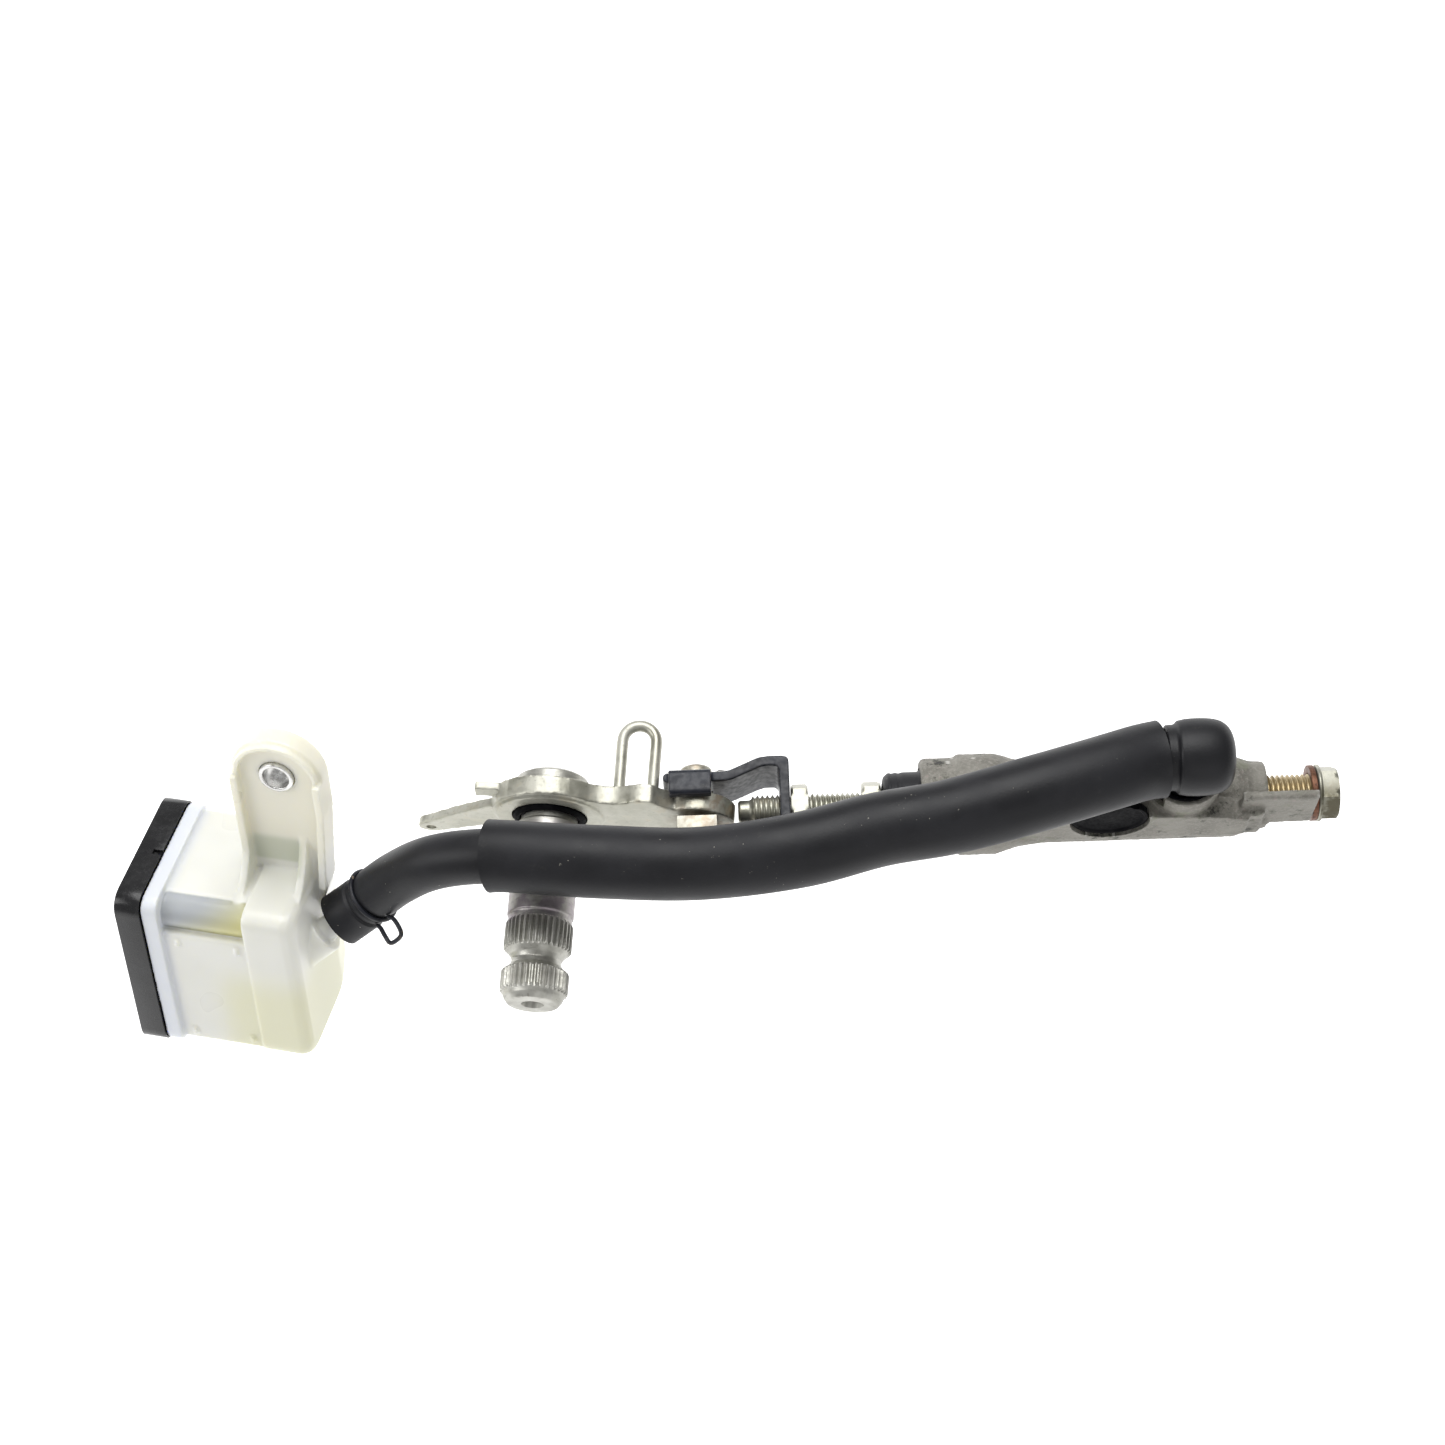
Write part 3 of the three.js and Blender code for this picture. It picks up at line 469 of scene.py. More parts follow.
class Look:
    """A material whose nodes are added one by one, on object coordinates."""

    def __init__(self, name, roughness, metallic=0.0, specular=0.5):
        self.material = bpy.data.materials.new(name)
        self.material.use_nodes = True
        self.tree = self.material.node_tree
        self.shader = self.tree.nodes["Principled BSDF"]
        self.shader.inputs["Roughness"].default_value = roughness
        self.shader.inputs["Metallic"].default_value = metallic
        self.shader.inputs["Specular IOR Level"].default_value = specular
        self.place = self.node("ShaderNodeTexCoord").outputs["Object"]

    def node(self, kind, **settings):
        made = self.tree.nodes.new(kind)
        for key, value in settings.items():
            setattr(made, key, value)
        return made

    def link(self, output, target):
        self.tree.links.new(output, target)

    def stretched(self, scale):
        """Object coordinates scaled by a different amount on each axis."""
        mapping = self.node("ShaderNodeMapping")
        mapping.inputs["Scale"].default_value = scale
        self.link(self.place, mapping.inputs["Vector"])
        return mapping.outputs["Vector"]

    def noise(self, size, detail=4, rough=0.6, place=None):
        """Noise whose features are about size millimetres across."""
        made = self.node("ShaderNodeTexNoise")
        made.inputs["Scale"].default_value = 1 / (size * MM)
        made.inputs["Detail"].default_value = detail
        made.inputs["Roughness"].default_value = rough
        self.link(place or self.place, made.inputs["Vector"])
        return made.outputs["Fac"]

    def band(self, value, low, high, to_low=0.0, to_high=1.0):
        """The value's stretch from low to high, smoothly mapped."""
        made = self.node("ShaderNodeMapRange", interpolation_type="SMOOTHSTEP")
        for socket, number in zip(("From Min", "From Max", "To Min", "To Max"), (low, high, to_low, to_high)):
            made.inputs[socket].default_value = number
        self.link(value, made.inputs["Value"])
        return made.outputs["Result"]

    def times(self, a, b):
        made = self.node("ShaderNodeMath", operation="MULTIPLY")
        self.link(a, made.inputs[0])
        self.link(b, made.inputs[1])
        return made.outputs[0]

    def along(self, way, origin):
        """How far a point lies from an origin along a way, in metres."""
        offset = self.node("ShaderNodeVectorMath", operation="SUBTRACT")
        self.link(self.place, offset.inputs[0])
        offset.inputs[1].default_value = origin
        made = self.node("ShaderNodeVectorMath", operation="DOT_PRODUCT")
        self.link(offset.outputs["Vector"], made.inputs[0])
        made.inputs[1].default_value = way
        return made.outputs["Value"]

    def beside(self, way, origin):
        """How far a point lies from a line through an origin, in metres."""
        offset = self.node("ShaderNodeVectorMath", operation="SUBTRACT")
        self.link(self.place, offset.inputs[0])
        offset.inputs[1].default_value = origin
        across = self.node("ShaderNodeVectorMath", operation="CROSS_PRODUCT")
        self.link(offset.outputs["Vector"], across.inputs[0])
        across.inputs[1].default_value = way
        made = self.node("ShaderNodeVectorMath", operation="LENGTH")
        self.link(across.outputs["Vector"], made.inputs[0])
        return made.outputs["Value"]

    def edges(self, low, high):
        """1 on sharp outer edges."""
        return self.band(self.node("ShaderNodeNewGeometry").outputs["Pointiness"], low, high)

    def mix(self, share, a, b):
        """Colour a where the share is 0 and b where it is 1. A colour is a tuple or an output."""
        made = self.node("ShaderNodeMix", data_type="RGBA")
        self.link(share, made.inputs["Factor"])
        for socket, colour in ((made.inputs[6], a), (made.inputs[7], b)):
            if isinstance(colour, tuple):
                socket.default_value = (*colour, 1)
            else:
                self.link(colour, socket)
        return made.outputs[2]

    def finish(self, colour, roughness=None, bumps=()):
        """Bumps are (value, height in millimetres) pairs."""
        self.link(colour, self.shader.inputs["Base Color"])
        if roughness is not None:
            self.link(roughness, self.shader.inputs["Roughness"])
        normal = None
        for value, height in bumps:
            bump = self.node("ShaderNodeBump")
            bump.inputs["Distance"].default_value = height * MM
            bump.inputs["Strength"].default_value = 1.0
            self.link(value, bump.inputs["Height"])
            if normal is not None:
                self.link(normal, bump.inputs["Normal"])
            normal = bump.outputs["Normal"]
        if normal is not None:
            self.link(normal, self.shader.inputs["Normal"])
        return self.material


def cast_alloy():
    look = Look("cast_alloy", 0.6, 0.35, 0.4)
    cloud = look.noise(14, 5)
    grain = look.noise(0.9, 6, 0.7)
    base = look.mix(look.band(cloud, 0.35, 0.65), (0.16, 0.153, 0.132), (0.245, 0.236, 0.208))
    speckled = look.mix(look.band(grain, 0.44, 0.68), base, (0.31, 0.298, 0.268))
    green = look.mix(look.band(look.noise(5, 3), 0.54, 0.68, 0, 0.6), speckled, (0.205, 0.215, 0.155))
    pink = look.mix(look.band(look.noise(1.6, 4), 0.58, 0.7, 0, 0.45), green, (0.33, 0.27, 0.25))
    stains = look.times(
        look.band(look.noise(5, 6, 0.75), 0.53, 0.64), look.band(look.noise(22, 2), 0.42, 0.56))
    stained = look.mix(stains, pink, (0.045, 0.042, 0.04))
    bright = look.mix(look.edges(0.53, 0.6), stained, (0.46, 0.45, 0.42))
    return look.finish(
        bright, look.band(grain, 0.3, 0.7, 0.5, 0.74), ((grain, 0.14), (look.noise(0.35, 3), 0.06)))


def zinc_plate():
    """Dull plating: brown at the arm's pin end, gold on the outlet bolt's thread, and painted shade on the
    lower side of its head.
    """
    look = Look("zinc_plate", 0.4, 0.8)
    cloud = look.noise(9, 5)
    fine = look.noise(1.1, 5)
    base = look.mix(look.band(cloud, 0.35, 0.65), (0.34, 0.335, 0.275), (0.52, 0.515, 0.455))
    yellow = look.mix(look.band(look.noise(4.5, 4), 0.56, 0.7, 0, 0.45), base, (0.41, 0.365, 0.25))
    towards_pin = look.band(look.along((1, 0, 0), tuple(ARM.translation)), -12 * MM, 2 * MM)
    off_the_rod = look.band(look.along((1, 0, 0), tuple(ARM.translation)), 9 * MM, 12 * MM, 1, 0)
    brown_patch = look.times(
        look.band(look.noise(3.2, 4), 0.4, 0.62, 0, 0.75), look.times(towards_pin, off_the_rod))
    browned = look.mix(brown_patch, yellow, (0.27, 0.21, 0.15))
    from_mouth = look.along((1, 0, 0), tuple(CYLINDER.translation))
    thread = look.times(
        look.band(from_mouth, 84 * MM, 86 * MM), look.band(from_mouth, 98 * MM, 98.5 * MM, 1, 0))
    golden = look.mix(thread, browned, (0.46, 0.375, 0.225))
    # Painted shade: the bolt's head is darkened in patches on its lower (-Y) side.
    underside_shade = look.band(look.along((0, 1, 0), tuple(CYLINDER.translation)), -4 * MM, 3 * MM, 0.9, 0)
    patchy_shade = look.band(look.noise(4, 4), 0.35, 0.5, 0.5, 1)
    head = look.times(look.band(from_mouth, 98.9 * MM, 99.3 * MM), patchy_shade)
    darkened = look.mix(look.times(head, underside_shade), golden, (0.085, 0.075, 0.045))
    dull = look.mix(look.band(fine, 0.56, 0.76, 0, 0.6), darkened, (0.22, 0.215, 0.18))
    return look.finish(dull, look.band(cloud, 0.3, 0.7, 0.34, 0.54), ((fine, 0.04),))


def bare_steel():
    """Machined steel, tinted purple where the smooth part runs in its bush."""
    look = Look("bare_steel", 0.4, 0.85)
    rings = look.noise(1.0, 3, 0.6, look.stretched((0.25, 2.4, 0.25)))
    cloud = look.noise(6, 4)
    base = look.mix(look.band(cloud, 0.35, 0.65), (0.34, 0.335, 0.30), (0.50, 0.495, 0.455))
    beyond_head = look.along((0, -1, 0), tuple(CYLINDER.translation))
    smooth_part = look.times(
        look.band(beyond_head, 2 * MM, 5 * MM), look.band(beyond_head, 27 * MM, 30.5 * MM, 1, 0))
    tint = look.times(look.band(look.noise(5, 4), 0.4, 0.6, 0.25, 0.9), smooth_part)
    tinted = look.mix(tint, base, (0.26, 0.225, 0.25))
    scored = look.mix(look.band(rings, 0.6, 0.75, 0, 0.5), tinted, (0.17, 0.165, 0.15))
    grimy = look.mix(look.band(look.noise(1.2, 4), 0.6, 0.74, 0, 0.5), scored, (0.12, 0.105, 0.08))
    return look.finish(grimy, look.band(rings, 0.3, 0.7, 0.34, 0.5), ((rings, 0.03),))


def black_paint():
    look = Look("black_paint", 0.4, 0.0, 0.32)
    fine = look.noise(1.6, 4)
    base = look.mix(look.band(look.noise(10, 3), 0.4, 0.65), (0.010, 0.011, 0.016), (0.020, 0.023, 0.032))
    chips = look.times(look.edges(0.53, 0.58), look.band(look.noise(2.4, 5), 0.52, 0.6))
    worn = look.mix(chips, base, (0.19, 0.15, 0.11))
    dusty = look.mix(look.band(look.noise(3.5, 5, 0.7), 0.6, 0.78, 0, 0.45), worn, (0.10, 0.095, 0.085))
    return look.finish(dusty, look.band(fine, 0.35, 0.7, 0.3, 0.5), ((fine, 0.03),))


def hose_rubber():
    look = Look("hose_rubber", 0.5, 0.0, 0.3)
    fine = look.noise(0.5, 4)
    cloud = look.noise(18, 3)
    base = look.mix(look.band(cloud, 0.35, 0.65), (0.0075, 0.0077, 0.0095), (0.0125, 0.0128, 0.0155))
    dusty = look.mix(look.band(look.noise(3.2, 6, 0.75), 0.6, 0.8, 0, 0.4), base, (0.055, 0.052, 0.045))
    specks = look.times(look.band(look.noise(0.9, 2), 0.7, 0.76), look.band(look.noise(11, 2), 0.54, 0.6))
    marked = look.mix(specks, dusty, (0.22, 0.21, 0.18))
    return look.finish(
        marked, look.band(cloud, 0.3, 0.7, 0.42, 0.56), ((fine, 0.02), (look.noise(4, 3), 0.05)))


def seal_rubber():
    look = Look("seal_rubber", 0.6, 0.0, 0.02)
    fine = look.noise(0.7, 3)
    base = look.mix(look.band(look.noise(5, 4), 0.4, 0.65), (0.005, 0.005, 0.006), (0.011, 0.011, 0.012))
    return look.finish(base, look.band(fine, 0.3, 0.7, 0.45, 0.65), ((fine, 0.02),))


def tank_plastic():
    """Milky plastic: bluish at the flange, grey in the corner relief, yellow where fluid stands behind it."""
    look = Look("tank_plastic", 0.3, 0.0, 0.45)
    origin = tuple(TANK.translation)
    down = look.along(tuple(TANK_X), origin)
    up_the_stay = look.along(tuple(TANK_IN_CYLINDER.to_3x3().col[2]), origin)
    haze = look.noise(26, 2)
    milk = look.mix(look.band(haze, 0.35, 0.65), (0.725, 0.725, 0.67), (0.765, 0.765, 0.715))
    below = look.times(look.band(up_the_stay, -34 * MM, -12 * MM, 1, 0), look.band(down, 10 * MM, 24 * MM))
    yellow = look.mix(look.band(below, 0, 1, 0, 0.85), milk, (0.70, 0.69, 0.49))
    blue = look.mix(look.band(down, 3 * MM, 7 * MM, 1, 0), yellow, (0.68, 0.705, 0.745))
    from_post = look.beside(tuple(TANK_X), tuple(TANK @ POST))
    in_relief = look.times(
        look.band(from_post, (POST_R + 0.1) * MM, (POST_R + 0.5) * MM, 1, 0),
        look.band(down, 26 * MM, 26.6 * MM, 1, 0))
    into_corner = (TANK_X - TANK_IN_CYLINDER.to_3x3().col[2] * 1.6).normalized()
    depth = look.along(tuple(into_corner), tuple(TANK @ POST))
    stained = look.mix(look.band(depth, 3 * MM, 14 * MM), (0.40, 0.42, 0.44), (0.58, 0.55, 0.25))
    warm_stay = look.mix(look.band(up_the_stay, 2 * MM, 14 * MM), blue, (0.80, 0.78, 0.67))
    relief = look.mix(in_relief, warm_stay, stained)
    at_foot = look.times(
        look.band(up_the_stay, 1 * MM, 3 * MM), look.band(up_the_stay, 8 * MM, 12 * MM, 1, 0))
    between = look.times(look.band(down, 23 * MM, 25 * MM), look.band(down, 36 * MM, 38.5 * MM, 1, 0))
    green = look.mix(look.band(look.times(at_foot, between), 0, 1, 0, 0.8), relief, (0.54, 0.565, 0.455))
    grimy = look.mix(look.band(look.noise(0.9, 5, 0.8), 0.76, 0.82, 0, 0.5), green, (0.35, 0.33, 0.25))
    look.shader.inputs["Subsurface Weight"].default_value = 0.55
    look.shader.inputs["Subsurface Radius"].default_value = (1.0, 0.95, 0.7)
    look.shader.inputs["Subsurface Scale"].default_value = 0.003
    return look.finish(grimy, look.band(haze, 0.3, 0.7, 0.27, 0.36), ((look.noise(8, 2), 0.03),))


def cap_plastic():
    look = Look("cap_plastic", 0.26, 0.0, 0.4)
    fine = look.noise(1.4, 3)
    base = look.mix(look.band(look.noise(6, 5), 0.4, 0.7), (0.010, 0.010, 0.011), (0.017, 0.017, 0.018))
    dusty = look.mix(look.band(look.noise(2, 6, 0.8), 0.7, 0.84, 0, 0.25), base, (0.08, 0.08, 0.08))
    return look.finish(dusty, look.band(fine, 0.35, 0.7, 0.2, 0.32), ((fine, 0.01),))


def copper():
    look = Look("copper", 0.45, 0.8)
    patches = look.noise(1.8, 5)
    base = look.mix(look.band(patches, 0.4, 0.65), (0.13, 0.06, 0.035), (0.22, 0.11, 0.07))
    darkened = look.mix(look.band(look.noise(0.8, 4), 0.5, 0.66), base, (0.08, 0.045, 0.035))
    return look.finish(darkened, look.band(patches, 0.3, 0.7, 0.36, 0.58), ((patches, 0.04),))


def turned_alloy():
    look = Look("turned_alloy", 0.35, 0.9)
    rings = look.noise(0.8, 3, 0.6, look.stretched((3.0, 0.3, 0.3)))
    base = look.mix(look.band(rings, 0.4, 0.65), (0.55, 0.54, 0.51), (0.68, 0.67, 0.64))
    return look.finish(base, look.band(rings, 0.3, 0.7, 0.28, 0.45), ((rings, 0.02),))


def spring_steel():
    look = Look("spring_steel", 0.28, 0.95)
    cloud = look.noise(2.5, 4)
    base = look.mix(look.band(cloud, 0.4, 0.65), (0.58, 0.575, 0.56), (0.80, 0.80, 0.79))
    return look.finish(base, look.band(cloud, 0.3, 0.7, 0.2, 0.36), ((look.noise(0.6, 3), 0.02),))


LOOKS = {make.__name__: make() for make in (
    cast_alloy, zinc_plate, bare_steel, black_paint, hose_rubber, seal_rubber, tank_plastic, cap_plastic,
    copper, turned_alloy, spring_steel)}


def dress_cad_nodes():
    """Every node keeps a worked material, whether or not a detailed piece stands for it."""
    for name, node in frame["nodes"].items():
        node.data.materials.clear()
        node.data.materials.append(LOOKS[SLOT_OF[name]])


# ---- Master cylinder ----

def cylinder_body():
    barrel = turned([
        (0, 2), (0, 11), (0.8, 11.8), (9, 11.8), (9, 12.6), (18.5, 12.6), (20.8, 11.9), (24, 10.9),
        (30, BARREL_R), (78, BARREL_R), (82, 8.6), (OUTLET_END_X, 8.3), (OUTLET_END_X, 2)], edge=0.5)
    flange = slab([
        (20, 0), (80, 0), (80, 10), *bend((80, 10), (70, 13.4), (58, 13.4)),
        *bend((58, 13.4), (55, 13.6), (54.2, 17)), *bend((54.2, 17), (54, 19), (52, 19)),
        (31, 19), *bend((31, 19), (22, 19), (20, 9))], FLANGE_FACE_Y, -4.5)
    rim = hoop(RECESS_R + 0.3, 0.45, (RECESS_X, RECESS_Z, 0))
    rim = in_frame(rim, Matrix(((1, 0, 0, 0), (0, 0, 1, FLANGE_FACE_Y + 0.1), (0, 1, 0, 0), (0, 0, 0, 1))))
    lugs = [rod(8, 1, 12, "y", (x, FIXING_Z)) for x in FIXING_X]
    necks = [box((x - 8, x + 8), (1, 12), (FIXING_Z, -3)) for x in FIXING_X]
    web = box(FIXING_X, (5, 12), (FIXING_Z - 4.5, -4))
    inlet_boss = rod(9.6, 2, INLET_TOP_Z, "z", (INLET_X, 0))
    inlet_collar = washer(9.8, 8.5, INLET_TOP_Z - 1, INLET_TOP_Z + 5.8, "z", (INLET_X, 0))
    ear = [box((78, 96.8), (-7.6, -5.4), (0, 17)), box((76, 84), (-9.4, -5.4), (-2, 11))]
    bore = turned([
        (-1, 9.4), (6, 9.4), (6, 8.3), (6.4, 8.3), (6.4, 9.2), (7.6, 9.2), (7.6, 8.3), (9.6, 8.3),
        (9.6, BORE_R), (77, BORE_R), (77, OUTLET_R), (OUTLET_END_X + 1, OUTLET_R)], edge=0)
    piece(
        "casting", "cylinder_body", [barrel, flange, rim, *lugs, *necks, web, inlet_boss, inlet_collar, *ear],
        fuse=(0.42, 5), rough=(0.09, 1.5), cuts=[
            *(rod(FIXING_R, -3, 13, "y", (x, FIXING_Z)) for x in FIXING_X),
            rod(RECESS_R, FLANGE_FACE_Y - 1, FLANGE_FACE_Y + 2.6, "y", (RECESS_X, RECESS_Z)),
            bore,
            rod(7.2, INLET_TOP_Z - 3.4, INLET_TOP_Z + 1, "z", (INLET_X, 0)),
            box((RECESS_X - 11, RECESS_X + 11), (-14, -6), (19.3, RECESS_Z + 11)),
            box((INLET_X - 12, INLET_X - 5.5), (-12, 12), (INLET_TOP_Z + 1, INLET_TOP_Z + 8)),
            rod(9.9, 60, 76, "x", (0, ELBOW_Z)),
        ])


def recess_plug():
    face = FLANGE_FACE_Y + 0.5
    back = FLANGE_FACE_Y + 2.3
    piece("recess_disc", "recess_plug", [turned([
        (back, 0.01), (back, 9.4), (face, 9.4), (face, 8.6), (face + 0.5, 8.1), (face + 0.5, 0.01)],
        "y", edge=0.2, centre=(RECESS_X, RECESS_Z))], cuts=[box((30, 60), (-12, 0), (18.7, 30))])


def outlet():
    head = (99.4, 104)
    flat = HEX_ACROSS_FLATS / 2
    hexagon = turned(
        [(head[0], 3), (head[0], flat), *((head[0] + k * 0.575, flat) for k in range(1, 8)),
         (head[1], flat), (head[1], flat * 0.9), (head[1] - 0.15, 3)],
        "x", 144, 0, section=hex_section(HEX_ACROSS_FLATS, -99, head[1]))
    shoulder = turned([(98, 3), (98.8, 7), (99.2, 7.2), (99.8, 7), (99.8, 3)], edge=0.2)
    piece("union_bolt", "banjo_bolt", [screw(4.8, 79, 98.6), shoulder, hexagon])
    tilted = Matrix.Translation((97.8, 0, 0)) @ Matrix.Rotation(math.radians(2), 4, "Z")
    piece("crush_washer", "banjo_washer", [in_frame(washer(7, 5, -0.7, 0.7), tilted)])


# ---- Push rod, nuts, boot and return spring ----

def push_rod():
    tip = turned([(-45.5, 0.01), (-45.5, 2.3), (-45, 2.8), (-42.6, 2.8), (-42, 3.2), (-40, 3.2)])
    shank = turned([
        (-12, 3.1), (-11.6, ROD_R), (9.5, ROD_R), (10.2, 5.6), (11.3, 5.6), (11.6, 3.4), (13.4, 3), (15, 1.5),
        (15, 0.01)])
    piece("threaded_push_rod", "push_rod", [tip, screw(ROD_R, -42.4, -11), shank])
    piece("adjuster_nut", "adjusting_nut", [hex_nut(-14.5, -9.8, ROD_R + 0.2)])
    piece("jam_nut", "lock_nut", [hex_nut(-32.2, -28, ROD_R + 0.2)])


def dust_boot():
    boot = piece("dust_boot", "boot", [turned([
        (-9.5, 4.3), (-9.5, 5.2), (-9.1, 7.5), (-7.8, 8.6), (-6.9, 8.3), (-6.1, 8.6), (-5.2, 8.3),
        (-4.4, 8.6), (-0.6, 8.6), (0.3, 9.1), (5.7, 9.1), (5.7, 7.5), (-6.4, 7.3), (-7.4, 6.4), (-7.7, 4.3)],
        edge=0.5, wrap=True)])
    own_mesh(boot)


def return_spring():
    start, end, turns, r = 65.8, 76.2, 4, 4.9
    steps = 40 * turns
    coil = [Vector((start + (end - start) * i / steps, r * math.cos(math.tau * turns * i / steps),
                    r * math.sin(math.tau * turns * i / steps))) for i in range(steps + 1)]
    spring = piece("coil_spring", "return_spring", [skin(tube_rings(coil, lambda share, turn: 0.45, 12))])
    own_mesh(spring)


# ---- Clevis and its pin ----

def clevis():
    half = 8
    strip = rounded([
        (-64, 5.5), (-47.5, 5.5), (-39, 9.2), (-35, 9.2), (-35, -9.2), (-39, -9.2), (-47.5, -8.4),
        (-64, -8.4), (-64, -10.9), (-47.5, -10.9), (-39, -11.7), (-32.5, -11.7), (-32.5, 11.7),
        (-39.6, 11.7), (-48, 8), (-64, 8)], 1.6, wrap=True)
    tab = [(7.4, 0), (7.4, 10.6), *bend((7.4, 10.6), (7.4, 12.5), (5.4, 12.5)), (2, 12.5),
           *bend((2, 12.5), (0.6, 12.5), (0.6, 11.4)), (0.6, 10), (5, 10), (5, 0)]
    corners = [
        slab([(PIN_X, s * half), *arc((PIN_X, 0), half, s * 90, s * 180), (PIN_X - 12, 0),
              (PIN_X - 12, s * 9), (PIN_X, s * 9)], -14, -7, "y")
        for s in (1, -1)]
    piece(
        "painted_clevis", "clevis", [slab(strip, -half, half, "z"), slab(tab, -62.5, -52, "x")],
        fuse=(0.3, 3), cuts=[
            *corners, rod(4.2, -14, 14, "y", (PIN_X, 0)), rod(4.2, -36, -31)])


def clevis_pin():
    pin = turned([
        (-13.4, 0.01), (-13.4, 5.6), (-13, 6.2), (-11.2, 6.2), (-11.2, 4), (11.4, 4), (12, 3.4), (12, 0.01)],
        "y", centre=(PIN_X, 0))
    piece("headed_pin", "clevis_pin", [pin], cuts=[rod(1.1, PIN_X - 6, PIN_X + 6, "x", (10.4, 0), 32)])
    piece("spacer_block", "pin_spacer", [box((PIN_X - 5, PIN_X + 5), (-8.1, -3.6), (-7, 8.4))],
          cuts=[rod(4.2, -9, 0, "y", (PIN_X, 0))], bevel=0.5)
    piece("flat_washer", "pin_washer", [washer(6.6, 4.2, 8.2, 9.1, "y", (PIN_X, 0))])
    piece("split_pin", "cotter_pin", [wire([
        (PIN_X - 7.4, 10.4, 1.2), (PIN_X - 5.4, 10.4, 0.3), (PIN_X + 4.6, 10.4, 0), (PIN_X + 6.2, 10.4, 1.3),
        (PIN_X + 7.6, 10.4, 0), (PIN_X + 6.2, 10.4, -1.4)], 0.7, 0.4)])


# ---- Arm, shaft, seal and hook ----

def arm():
    boss, tip = -ARM_LENGTH, FINGER_TIP
    plate = [
        (boss + 9, -11.4), *bend((boss + 9, -11.4), (boss + 16, -7.4), (-8, -8.4)),
        *bend((-8, -8.4), (-4, -9.5), (0, -9.5)), *arc((0, 0), 9.5, -90, 124),
        *bend((-5.3, 7.9), (-8.6, 9.2), (-11, 12)), *bend((-11, 12), (-15, 12.6), (-17, 10.6)),
        *bend((-17, 10.6), (boss + 15, 8), (boss + 10, 10.5)), *arc((boss, 0), 14.5, 46, 309)]
    finger = [
        (-40, 6), *bend((-40, 6), (-54, 1), (tip[0] - 0.6, tip[1] + 3.2)), *arc(tip, 3.2, 108, 288),
        *bend((tip[0] + 1, tip[1] - 3.1), (-53, -13), (-40, -8))]
    lump = box((-55.4, -49), (0.4, 2.5), (2.5, 7.5))
    boss_ring = washer(13.6, 9.2, -3.4, -1, "y", (boss, 0), 0.6)
    hook_holes = [
        rod(HOOK_WIRE_R + 0.2, -2.3, 4, "y", (HOOK_X + side * HOOK_HALF_WIDTH, HOOK_Z), 32)
        for side in (-1, 1)]
    piece(
        "forged_arm", "arm",
        [slab(plate, -2.5, 2.5), slab(finger, -1.2, 1.2), lump, boss_ring],
        ARM, fuse=(0.33, 5), rough=(0.04, 2.5), cuts=[
            rod(4.5, -4, 4, "y"), rod(7.3, -5, 4, "y", (boss, 0)), rod(9.5, -5, -0.5, "y", (boss, 0)),
            rod(1.3, -3, 3, "y", tip, 32), *hook_holes])


def pedal_shaft():
    root, tip = 7.75, 8.4

    def splines(turn, along, r):
        if not -50 < along < -31.6:
            return r
        tooth = min(1, max(0, 0.5 + 0.85 * math.cos(SPLINE_TEETH * turn)))
        return root + (r - root) * tooth if r > root else r

    profile = [
        (SHAFT_END_Y, 0.01), (SHAFT_END_Y, 6.3), (-51, 7.3), (-49.9, 7.7), (-49.3, tip), (-44.4, tip),
        (-43.8, 7.6), (-42.8, 6.5), (-41.4, 6.1), (-40.2, 6.6), (-39.1, 7.6), (-38.5, tip), (-32.1, tip),
        (-31.5, 7.9), (-30.2, 7.9), (-29.8, 8.25), (-6, 8.25), (-5.6, 7.1), (2.8, 7.1), (2.8, 9.1), (6.4, 9),
        (7.5, 7.1), (7.5, 0.01)]
    centre_hole = turned(
        [(SHAFT_END_Y - 1, 3.2), (SHAFT_END_Y, 2.8), (SHAFT_END_Y + 1.2, 2.2), (SHAFT_END_Y + 4, 1.2)],
        "y", edge=0, centre=(-ARM_LENGTH, 0))
    piece("splined_shaft", "pedal_shaft", [
        turned(profile, "y", SPLINE_TEETH * 10, 0.3, (-ARM_LENGTH, 0), section=splines)],
        ARM, cuts=[centre_hole])
    lip = [(-4.2, 7.4), (-4.4, 8.4), (-3.5, 9.3), (-2.6, 8.7), (-1.8, 9.2), (-0.8, 8.9), (-0.8, 7.4)]
    piece("shaft_seal", "dust_seal", [turned(lip, "y", 128, 0.3, (-ARM_LENGTH, 0), wrap=True)], ARM)


def wire_hook():
    bend_y = HOOK_TOP_Y - HOOK_HALF_WIDTH
    leg = [-2.2, 1.6, 5.4, 9.3, bend_y]
    crown = arc((0, bend_y), HOOK_HALF_WIDTH, 180, 0, 12)[1:-1]
    line = [(-HOOK_HALF_WIDTH, y) for y in leg] + crown + [(HOOK_HALF_WIDTH, y) for y in leg[::-1]]
    piece("spring_hook", "wire_hook", [wire(
        [(HOOK_X + x, y, HOOK_Z) for x, y in line], HOOK_WIRE_R)], ARM)


# ---- Reservoir, in its own frame: x down from the cap, z out to the stay ----

def foot_ring(x, far_y, inset):
    """The outline of the reservoir's foot at a distance x below the cap."""
    near_y, low_z, high_z = 0.6 + inset, 0.6 - TANK_HEIGHT + inset, -0.4 - inset
    corners = [(near_y, low_z), (far_y, low_z), (far_y, high_z), (near_y, high_z)]
    outline = rounded(corners, 4.5, wrap=True, steps=8)
    return [(x, y, z) for y, z in outline]


